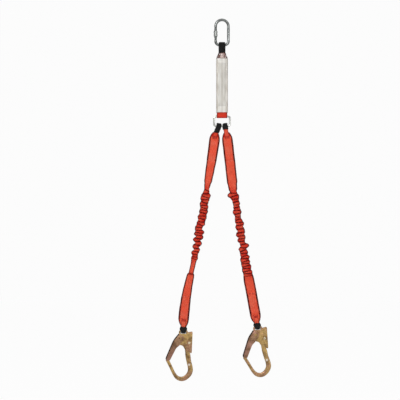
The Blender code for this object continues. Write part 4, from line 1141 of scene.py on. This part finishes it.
def dressed(node, name, finish, bevel):
    # A merged copy of a rigid node with its edges rounded
    source = frame["nodes"][node]
    piece = bpy.data.objects.new(name, source.data.copy())
    scene.collection.objects.link(piece)
    only(piece)
    bpy.ops.object.mode_set(mode="EDIT")
    bpy.ops.mesh.select_all(action="SELECT")
    bpy.ops.mesh.remove_doubles(threshold=mergeDistance)
    bpy.ops.mesh.dissolve_limited(angle_limit=math.radians(0.5))
    bpy.ops.object.mode_set(mode="OBJECT")
    softEdges(piece, bevel, 2)
    return settle(piece, source["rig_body"], finish, node)


packLook = {
    "width": 0.0470,
    "thickness": 0.0240,
    "square": 0.42,              # 1 is an ellipse, 0 a rectangle
    "wall": 0.0004,
    "rim": 0.0003,
    "rows": 150,
    "top": -0.1285,
    "foot": -0.3648,
    "widths": ((-0.3648, 0.975), (-0.3600, 1.0), (-0.1525, 1.0), (-0.1505, 0.985), (-0.1455, 0.90),
               (-0.1345, 0.70), (-0.1285, 0.62)),
    "depths": ((-0.3648, 0.96), (-0.3600, 1.0), (-0.1525, 1.0), (-0.1505, 0.97), (-0.1455, 0.90),
               (-0.1345, 0.70), (-0.1285, 0.66)),
    "pleats": (17, 0.0011),      # gathers of the film at the neck: number and depth
    "footPleats": (23, 0.0006),
    "frill": 0.0008,             # how far the foot's edge waves up and down
    "crease": 0.00040,
    "seam": (0.0011, 0.004),     # weld down the back: height and how soon it fades
    "neckFrom": (-0.1520, -0.1420),      # where the film starts to draw in, and is pleated
    "footFrom": (-0.3648, -0.3560),
    "neckTone": (-0.1515, -0.1485),      # where its look changes, and how it looks there
    "neckEdge": 0.46,
    # neckShades: painted shade towards the neck's sides, by distance from the middle
    "neckShades": ((0.004, 0.15), (0.012, 0.95)),
    "line": (-0.1492, 0.0009),           # a dark line above the pack, painted shade in the fold there: place and width
    "clear": ((0.0125, 0.62), (0.0175, 0.92)),       # how much it covers, from the middle to its edges
    "milkyFoot": ((-0.3420, 0.90), (-0.3380, 0.0)),
    "milkyTop": ((-0.1700, 0.0), (-0.1660, 0.85)),
    # shades: a painted highlight (0) and painted shade (1) across the film's front, left to right
    "shades": ((-0.0235, 0.75), (-0.0185, 0.70), (-0.0140, 0.10), (-0.0060, 0.0), (0.0, 0.50), (0.0070, 0.10),
               (0.0130, 0.55), (0.0180, 0.85), (0.0235, 1.0)),
    "layers": 5,
    "pitch": 0.0035,
    "strip": 0.0370,
    "stack": (-0.1645, -0.3445),
    "label": {"half": 0.0165, "front": -0.0086, "thickness": 0.0005, "top": -0.1685, "foot": -0.3405,
              "corner": 0.0030, "behind": 0.0003, "bow": 0.0005, "curl": 0.00015},
    "thinner": 0.0002,           # than a loop's webbing: the strip
}


def makeFilm():
    look = packLook
    run = look["top"] - look["foot"]
    rows = [(look["top"] - run * i / look["rows"], 0.0) for i in range(look["rows"] + 1)]
    rows += [(look["foot"] - look["rim"], 0.5)] + [(z, 1.0) for z, inside in rows[::-1]]
    rows += [(look["top"] + look["rim"], 0.5), (look["top"], 0.0)]

    def spot(u, v):
        z, inside = rows[round(v * (len(rows) - 1))]
        angle = math.tau * u
        c, s = onCircle(u)
        neck = ramp(*look["neckFrom"], z)
        foot = 1.0 - ramp(*look["footFrom"], z)
        (pleats, deep), (frills, shallow), (proud, reach) = look["pleats"], look["footPleats"], look["seam"]
        ripple = deep * neck * math.cos(pleats * angle + 2.0 * wander(3.0, (z, c * 0.01, s * 0.01), 60.0))
        drift = 3.0 * wander(7.0, (c * 0.02, s * 0.02, 0.0), 50.0)
        ripple += shallow * foot * math.cos(frills * angle + drift)
        ripple += look["crease"] * wander(17.0, (c * 0.020, s * 0.012, z * 0.35), 130.0)
        ripple += proud * math.exp(-((s - 1.0) / reach) ** 2) if s > 0 else 0.0
        ripple -= look["wall"] * inside
        x = look["width"] / 2 * eased(look["widths"], z) * swollen(c, look["square"])
        y = look["thickness"] / 2 * eased(look["depths"], z) * swollen(s, look["square"])
        z += look["frill"] * foot * wander(5.0, (c * 0.02, s * 0.02, 0.0), 90.0)
        return Vector((x + ripple * c, y + ripple * s, z))

    def marks(u, v):
        place = spot(u, v)
        x, z = place.x, place.z
        crease = wander(17.0, (x * 1.2, place.y, z * 0.25), 130.0)
        neck = ramp(*look["neckTone"], z)
        line = math.exp(-((z - look["line"][0]) / look["line"][1]) ** 2)
        edge = max(eased(look["clear"], abs(x)), eased(look["milkyFoot"], z), eased(look["milkyTop"], z))
        # Painted highlight and shade across the front, and painted shade towards the neck's sides
        shade = eased(look["shades"], x) + 0.5 * crease
        shade += (eased(look["neckShades"], abs(x)) - shade) * neck
        edge += (look["neckEdge"] - edge) * neck + 0.5 * line
        return {"edge": edge, "deep": neck, "line": 0.8 * line, "shade": shade}

    film = wrapped("shrunk_film", 112, len(rows) - 1, spot, 0.14, 2 * run, marks, 70.0)
    settle(film, "absorber", "clear_film", "absorber_shrink_cover")


def makeTearStrip():
    # One strip folded to and fro, layer on layer
    look = packLook
    top, foot = look["stack"]
    radius = look["pitch"] / 2
    first = -look["pitch"] * (look["layers"] - 1) / 2
    path = []
    for layer in range(look["layers"]):
        y = first + layer * look["pitch"]
        ends = (top - radius, foot + radius) if layer % 2 == 0 else (foot + radius, top - radius)
        path += [(y, ends[0] + (ends[1] - ends[0]) * i / 40) for i in range(41)]
        if layer < look["layers"] - 1:
            way = -1.0 if layer % 2 == 0 else 1.0
            path += [(y + radius - radius * math.cos(a), ends[1] + way * radius * math.sin(a))
                     for a in (math.pi * i / 8 for i in range(1, 8))]
    last = len(path) - 1

    def spot(u, v):
        i = round(v * last)
        y, z = path[i]
        before, after = path[max(i - 1, 0)], path[min(i + 1, last)]
        way = Vector((0.0, after[0] - before[0], after[1] - before[1])).normalized()
        outward = way.cross(Vector((1.0, 0.0, 0.0)))
        a, d = flatSection(u, look["strip"], loopLook["webbing"] - look["thinner"], 10, 4)
        return Vector((a, y, z)) + outward * d

    def marks(u, v):
        # Painted shade on the rounded edges
        share = abs(flatSection(u, look["strip"], loopLook["webbing"], 10, 4)[0]) / (look["strip"] / 2)
        return {"edge": ramp(0.70, 0.85, share), "deep": 0.2}

    strip = wrapped("folded_tear_strip", 28, last, spot, 2.1 * look["strip"], 0.9, marks)
    settle(strip, "absorber", "red_webbing", "absorber_tear_webbing")


def makeLabel():
    look = packLook["label"]
    run = look["top"] - look["foot"]

    def spot(u, v):
        z = look["top"] - run * v
        end = min(look["top"] - z, z - look["foot"])
        short = max(0.0, look["corner"] - end)
        narrower = look["corner"] - math.sqrt(max(0.0, look["corner"] ** 2 - short ** 2))
        a, d = flatSection(u, 2 * (look["half"] - narrower), look["thickness"], 12, 2)
        bow = look["bow"] * (a / look["half"]) ** 2 + look["curl"] * wander(31.0, (a, z, 0.0), 60.0)
        return Vector((a, look["front"] - look["thickness"] / 2 + d - look["behind"] + bow, z))

    label = wrapped("ruled_label", 28, 90, spot, 2 * 2.05 * look["half"], run, angle=50.0)
    settle(label, "absorber", "label_stock", "identification_label")


makeTearStrip()
makeLabel()
makeFilm()
print("absorber ready")

karabinerLook = {
    "halfWidth": 0.0255,         # to the middle of the wire
    "wire": 0.0055,
    "crown": 0.0055,             # top of the wire's middle line
    "foot": -0.0955,
    "corner": 0.016,
    "gateTop": -0.0225,
    "gateFoot": -0.0720,
    "hingeEnd": 0.0063,          # the wire ends this far below the gate's foot
    "blade": 0.0040,
    "play": 0.0002,
    "tongue": 0.0048,            # half width of the blades in the gate's forks
    "nose": (0.0030, 0.0096),    # how far the nose's blade reaches up and down from the gate's top
    "hinge": 0.0100,
    "sleeve": {"foot": -0.0610, "length": 0.0220, "radius": 0.0079, "bore": 0.0059, "knurls": 30,
               "pitch": 0.0016, "relief": 0.00045, "band": 0.0085, "waist": 0.0009, "rim": 0.0012,
               "step": 0.0004},
}


def makeKarabiner():
    look = karabinerLook
    half, crown, corner = look["halfWidth"], look["crown"], look["corner"]
    top, foot, tongue = look["gateTop"], look["gateFoot"], look["tongue"]
    path = [(-half, top + look["play"])]
    path += arcPoints((0.0, crown - half), half, 180, 0, 48)
    path += arcPoints((half - corner, look["foot"] + corner), corner, 0, -90, 18)
    path += arcPoints((corner - half, look["foot"] + corner), corner, -90, -180, 18)
    path.append((-half, foot - look["hingeEnd"]))
    wire = rod("karabiner_wire", alongLine(path), lambda v: look["wire"], 150, 28)
    settle(wire, "karabiner", "zinc_steel", "karabiner_body")
    left, right, (up, down) = -half - tongue, -half + tongue, look["nose"]
    nose = rounded([(left, top + up), (right, top + up), (right, top - down), (left, top - down)], 0.0012)
    hinge = arcPoints((-half, foot), tongue, 0, 180, 24)
    hinge += [(left, foot - look["hinge"]), (right, foot - look["hinge"])]
    for name, outline in (("nose", nose), ("hinge", hinge)):
        blade = plate("karabiner_" + name + "_blade", outline, look["blade"] - look["play"])
        settle(softEdges(blade, 0.0003), "karabiner", "zinc_steel")


def makeScrewSleeve():
    look = karabinerLook["sleeve"]
    x = -karabinerLook["halfWidth"]
    foot, length, radius = look["foot"], look["length"], look["radius"]
    outline = [(0.0, look["bore"]), (0.0, radius - look["rim"]), (look["rim"], radius)]
    outline += [(look["band"], radius), (look["band"] + 0.001, radius - look["waist"])]
    outline += [(length - place, reach) for place, reach in outline[::-1]]
    runs = []
    for (a, low), (b, high) in zip(outline, outline[1:]):
        steps = max(1, round(math.hypot(b - a, high - low) / look["step"]))
        runs += [(a + (b - a) * i / steps, low + (high - low) * i / steps) for i in range(steps)]
    runs += [outline[-1], outline[0]]

    def spot(u, v):
        place, reach = runs[round(v * (len(runs) - 1))]
        angle = math.tau * u
        if reach >= radius - 0.0001 and v < 0.99:
            turn, rise = angle * look["knurls"], place * math.tau / look["pitch"]
            reach -= look["relief"] * (1.0 - abs(math.cos((turn + rise) / 2) * math.cos((turn - rise) / 2)))
        return Vector((x + reach * math.cos(angle), reach * math.sin(angle), foot + place))

    sleeve = wrapped("knurled_screw_sleeve", 180, len(runs) - 1, spot, 0.05, 0.05, angle=45.0)
    settle(sleeve, "karabiner_sleeve", "sleeve_steel", "karabiner_screw_sleeve")


makeKarabiner()
makeScrewSleeve()
for node, shape, finish, bevel in (("karabiner_gate", "_barrel", "barrel_steel", 0.0003),
                                   ("karabiner_gate_rivet", "_headed", "zinc_steel", 0.0003),
                                   ("karabiner_latch_pin", "_rounded", "zinc_steel", 0.0002)):
    dressed(node, node + shape, finish, bevel)
print("karabiner ready")


linkLook = {"halfWidth": 0.03175, "top": -0.3805, "bottom": -0.4190, "corner": 0.008, "bar": 0.0040,
            "weld": (0.245, 0.0005, 0.006)}      # its place along the link, height and length


def makeLink():
    look = linkLook
    half, corner = look["halfWidth"] - look["corner"], look["corner"]
    low, high = look["bottom"] + corner, look["top"] - corner
    path = []
    for x, z, start in ((half, high, 90), (half, low, 0), (-half, low, -90), (-half, high, -180)):
        path += arcPoints((x, z), corner, start, start - 90, 16)
    path.append(path[0])
    weld, proud, run = look["weld"]

    def radius(v):
        return look["bar"] + proud * math.exp(-((v % 1.0 - weld) / run) ** 2)

    settle(rod("welded_link", alongLine(path), radius, 220, 24, True), "ring", "link_steel", "connector_ring")


makeLink()
print("link ready")


hookLook = {
    "line": ((0.0110, -0.0440, 0.0200), (0.0138, -0.0660, 0.0170), (0.0158, -0.0850, 0.0172),
             (0.0180, -0.0980, 0.0200), (0.0215, -0.1210, 0.0185), (0.0268, -0.1430, 0.0190),
             (0.0275, -0.1600, 0.0200), (0.0210, -0.1750, 0.0195), (0.0070, -0.1880, 0.0182),
             (-0.0090, -0.1922, 0.0170), (-0.0250, -0.1865, 0.0148), (-0.0375, -0.1710, 0.0124),
             (-0.0510, -0.1430, 0.0118), (-0.0650, -0.1145, 0.0124)),
    "forging": 0.0125,
    "flash": 0.0003,             # parting line left by the dies
    "worn": (0.0228, -0.1345, 0.0036),   # a painted highlight on the spine: its place, and how far it spreads
    "head": 0.0130,
    "gatePin": (-0.0110, -0.0300),
    "leverPin": (0.0235, -0.0470),
    "headLeft": ((-0.0170, -0.0080), (-0.0185, -0.0180)),
    "headRight": ((-0.0165, -0.0500), (-0.0125, -0.0570), (-0.0055, -0.0580), (0.0010, -0.0630),
                  (0.0045, -0.0730), (0.0170, -0.0740), (0.0270, -0.0600), (0.0290, -0.0400),
                  (0.0280, -0.0180), (0.0190, -0.0080)),
    "knuckle": 0.0135,           # the head's radius round the gate's pin
    "eyeFloor": -0.0115,
    "bow": (0.0145, 0.0037, 0.0045, -0.0130),       # half width, wire, corner, foot
    "gate": ((-0.0175, -0.0115), (-0.0410, -0.0390), (-0.0715, -0.1095), (-0.0695, -0.1145),
             (-0.0560, -0.1175), (-0.0530, -0.1160), (-0.0285, -0.0680), (-0.0150, -0.0570)),
    "gateHollow": ((0.0200, 0.0), (-0.0600, 0.0), (-0.0900, -0.1000), (-0.0700, -0.1300),
                   (-0.0604, -0.1285), (-0.0302, -0.0672), (-0.0255, -0.0640), (0.0200, -0.0640)),
    "lever": ((0.0205, -0.0180), (0.0135, -0.0070), (0.0345, -0.0035), (0.0370, -0.0060),
              (0.0338, -0.0850), (0.0315, -0.0885), (0.0235, -0.0850), (0.0175, -0.0600)),
    "leverWaist": (0.0225, -0.0270),
    "leverHollow": ((0.0, 0.0200), (0.0362, 0.0200), (0.0350, -0.0060), (0.0312, -0.1000), (0.0, -0.1000)),
    "cheeks": (0.0069, 0.0089),  # inner and outer face, from the middle
    "pin": 0.0030,
    "slot": (0.0064, 0.0060),    # width and radius of the springs' pockets
    "rivet": (0.0050, 0.0016),
    # painted shade strips along the gate's outer edge: their line, radius and how far they sink into the
    # cheeks
    "lip": ((-0.0180, -0.0128), (-0.0394, -0.0383), (-0.0697, -0.1090), (-0.0686, -0.1130)),
    "lipRadius": 0.0017,
    "lipInset": 0.0004,
    "running": 0.0003,           # room round the pins
    "drill": 0.04,               # longer than any hole
    "pockets": (("gatePin", -0.0200), ("leverPin", 0.0150)),     # the way each spring's slot opens
}


def bore(piece, place):
    cut(piece, drum(hookLook["pin"] + hookLook["running"], hookLook["drill"], place))


def onBothFaces(make, y):
    # Two of a piece, one of them moved to each face
    pieces = []
    for way in (-1.0, 1.0):
        piece = make()
        for vertex in piece.data.vertices:
            vertex.co.y += way * y
        pieces.append(piece)
    return pieces


def joined(name, pieces):
    only(pieces[0])
    for piece in pieces[1:]:
        piece.select_set(True)
    bpy.ops.object.join()
    pieces[0].name = pieces[0].data.name = name
    return pieces[0]


def makeForging():
    look = hookLook
    lines = [[(k, point[i]) for k, point in enumerate(look["line"])] for i in range(3)]
    last = len(look["line"]) - 1

    def spot(u, v):
        t = v * last
        x, z, width = (bent(line, t) for line in lines)
        ahead, back = min(last, t + 0.05), max(0.0, t - 0.05)
        way = Vector([bent(line, ahead) - bent(line, back) for line in lines[:2]]).normalized()
        c, s = onCircle(u)
        across = width / 2 * swollen(c, 0.50)
        depth = look["forging"] / 2 * swollen(s, 0.42)
        across += look["flash"] * math.copysign(1.0, c) * max(0.0, 1.0 - abs(s) / 0.10)
        return Vector((x - way.y * across, -depth, z + way.x * across))

    def marks(u, v):
        # A painted highlight on the spine
        here = spot(u, v)
        x, z, size = look["worn"]
        return {"worn": math.exp(-((here.x - x) ** 2 + (here.z - z) ** 2) / size ** 2)}

    return wrapped("hook_forging", 56, 130, spot, 0.06, 0.25, marks, 55.0)


def makeHead():
    look = hookLook
    half, wire = look["bow"][:2]
    inner, floor, shoulder = half - wire, look["eyeFloor"], look["headLeft"][0][1]
    outline = [*look["headLeft"], *arcPoints(look["gatePin"], look["knuckle"], 160, 235, 14),
               *rounded(look["headRight"], 0.004, 3, True),
               (inner, shoulder), (inner, floor), (-inner, floor), (-inner, shoulder)]
    head = softEdges(plate("hook_head", outline, look["head"]), 0.0014, 3, 50.0)
    width, pocket = look["slot"]
    for pin, reach in look["pockets"]:
        x, z = look[pin]
        bore(head, look[pin])
        cut(head, drum(pocket, width, (x, z)))
        low, high = z - pocket + look["running"], z + pocket - look["running"]
        cut(head, plate("slot_mouth", [(x, low), (x + reach, low), (x + reach, high), (x, high)], width))
    return smooth(head, 35.0)


def makeBow():
    half, wire, corner, foot = hookLook["bow"]
    path = [(-half, foot)] + arcPoints((corner - half, -corner), corner, 180, 90, 10)
    path += arcPoints((half - corner, -corner), corner, 90, 0, 10) + [(half, foot)]
    return rod("hook_bow", alongLine(path), lambda v: wire, 60, 24)


def makeChannel(name, outline, hollow, place):
    # A pressed channel: two cheeks with a web between them
    inner, outer = hookLook["cheeks"]
    channel = plate(name, outline, 2 * outer)
    cut(channel, plate(name + "_hollow", hollow, 2 * inner))
    bore(channel, place)
    return softEdges(channel, 0.0006, 2)


def makeRivet(name, place):
    radius, height = hookLook["rivet"]
    seat = hookLook["cheeks"][1] + hookLook["running"]
    shank = drum(hookLook["pin"], 2 * seat, place)
    heads = onBothFaces(lambda: drum(radius, height, place), seat + height / 2)
    return smooth(joined(name, [shank] + [softEdges(head, 0.0011, 4) for head in heads]), 50.0)


def makeGateShadeStrips():
    # Dark strips along the outer edges of the gate's cheeks: painted shade along the gate's open outer side
    line = alongLine(rounded(hookLook["lip"], 0.012, 8, True))
    return joined("hook_gate_rims", onBothFaces(
        lambda: rod("rim", line, lambda v: hookLook["lipRadius"], 60, 12),
        hookLook["cheeks"][1] - hookLook["lipInset"]))


def fitHook(side, model, body, finish, *nodes):
    # A copy of a hook's piece, turned and moved to its eye
    leg = legs[side]
    piece = bpy.data.objects.new(side + "_" + model.name, model.data.copy())
    scene.collection.objects.link(piece)
    piece.location = leg.eye
    piece.rotation_euler = (0.0, leg.tilt, 0.0)
    return settle(piece, side + body, finish, *[side + node for node in nodes])


gateOutline = [*rounded(hookLook["gate"], 0.005, 5, True),
               *arcPoints(hookLook["gatePin"], 0.0140, -75, 62, 22)]
leverOutline = [*rounded(hookLook["lever"], 0.0022, 4, True),
                *arcPoints(hookLook["leverPin"], 0.0080, 225, 120, 14), hookLook["leverWaist"]]
hookModels = (                   # the piece, its body, its finish and the node that it stands for
    (makeForging(), "_hook", "gold_zinc", "_hook_body"),
    (makeHead(), "_hook", "gold_zinc"),
    (makeBow(), "_hook", "gold_zinc"),
    (makeChannel("hook_gate_channel", gateOutline, hookLook["gateHollow"], hookLook["gatePin"]),
     "_hook_gate", "brown_zinc", "_hook_gate"),
    (makeGateShadeStrips(), "_hook_gate", "dark_rim"),
    (makeChannel("hook_lever_channel", leverOutline, hookLook["leverHollow"], hookLook["leverPin"]),
     "_hook_lever", "gold_zinc", "_hook_lever"),
    (makeRivet("hook_gate_rivet_domed", hookLook["gatePin"]), "_hook", "gold_zinc", "_hook_gate_rivet"),
    (makeRivet("hook_lever_rivet_domed", hookLook["leverPin"]), "_hook", "rivet_steel", "_hook_lever_rivet"),
)
for model, *fitting in hookModels:
    for side in legs:
        fitHook(side, model, *fitting)
    bpy.data.objects.remove(model)
print("hooks ready:", len(hookModels))
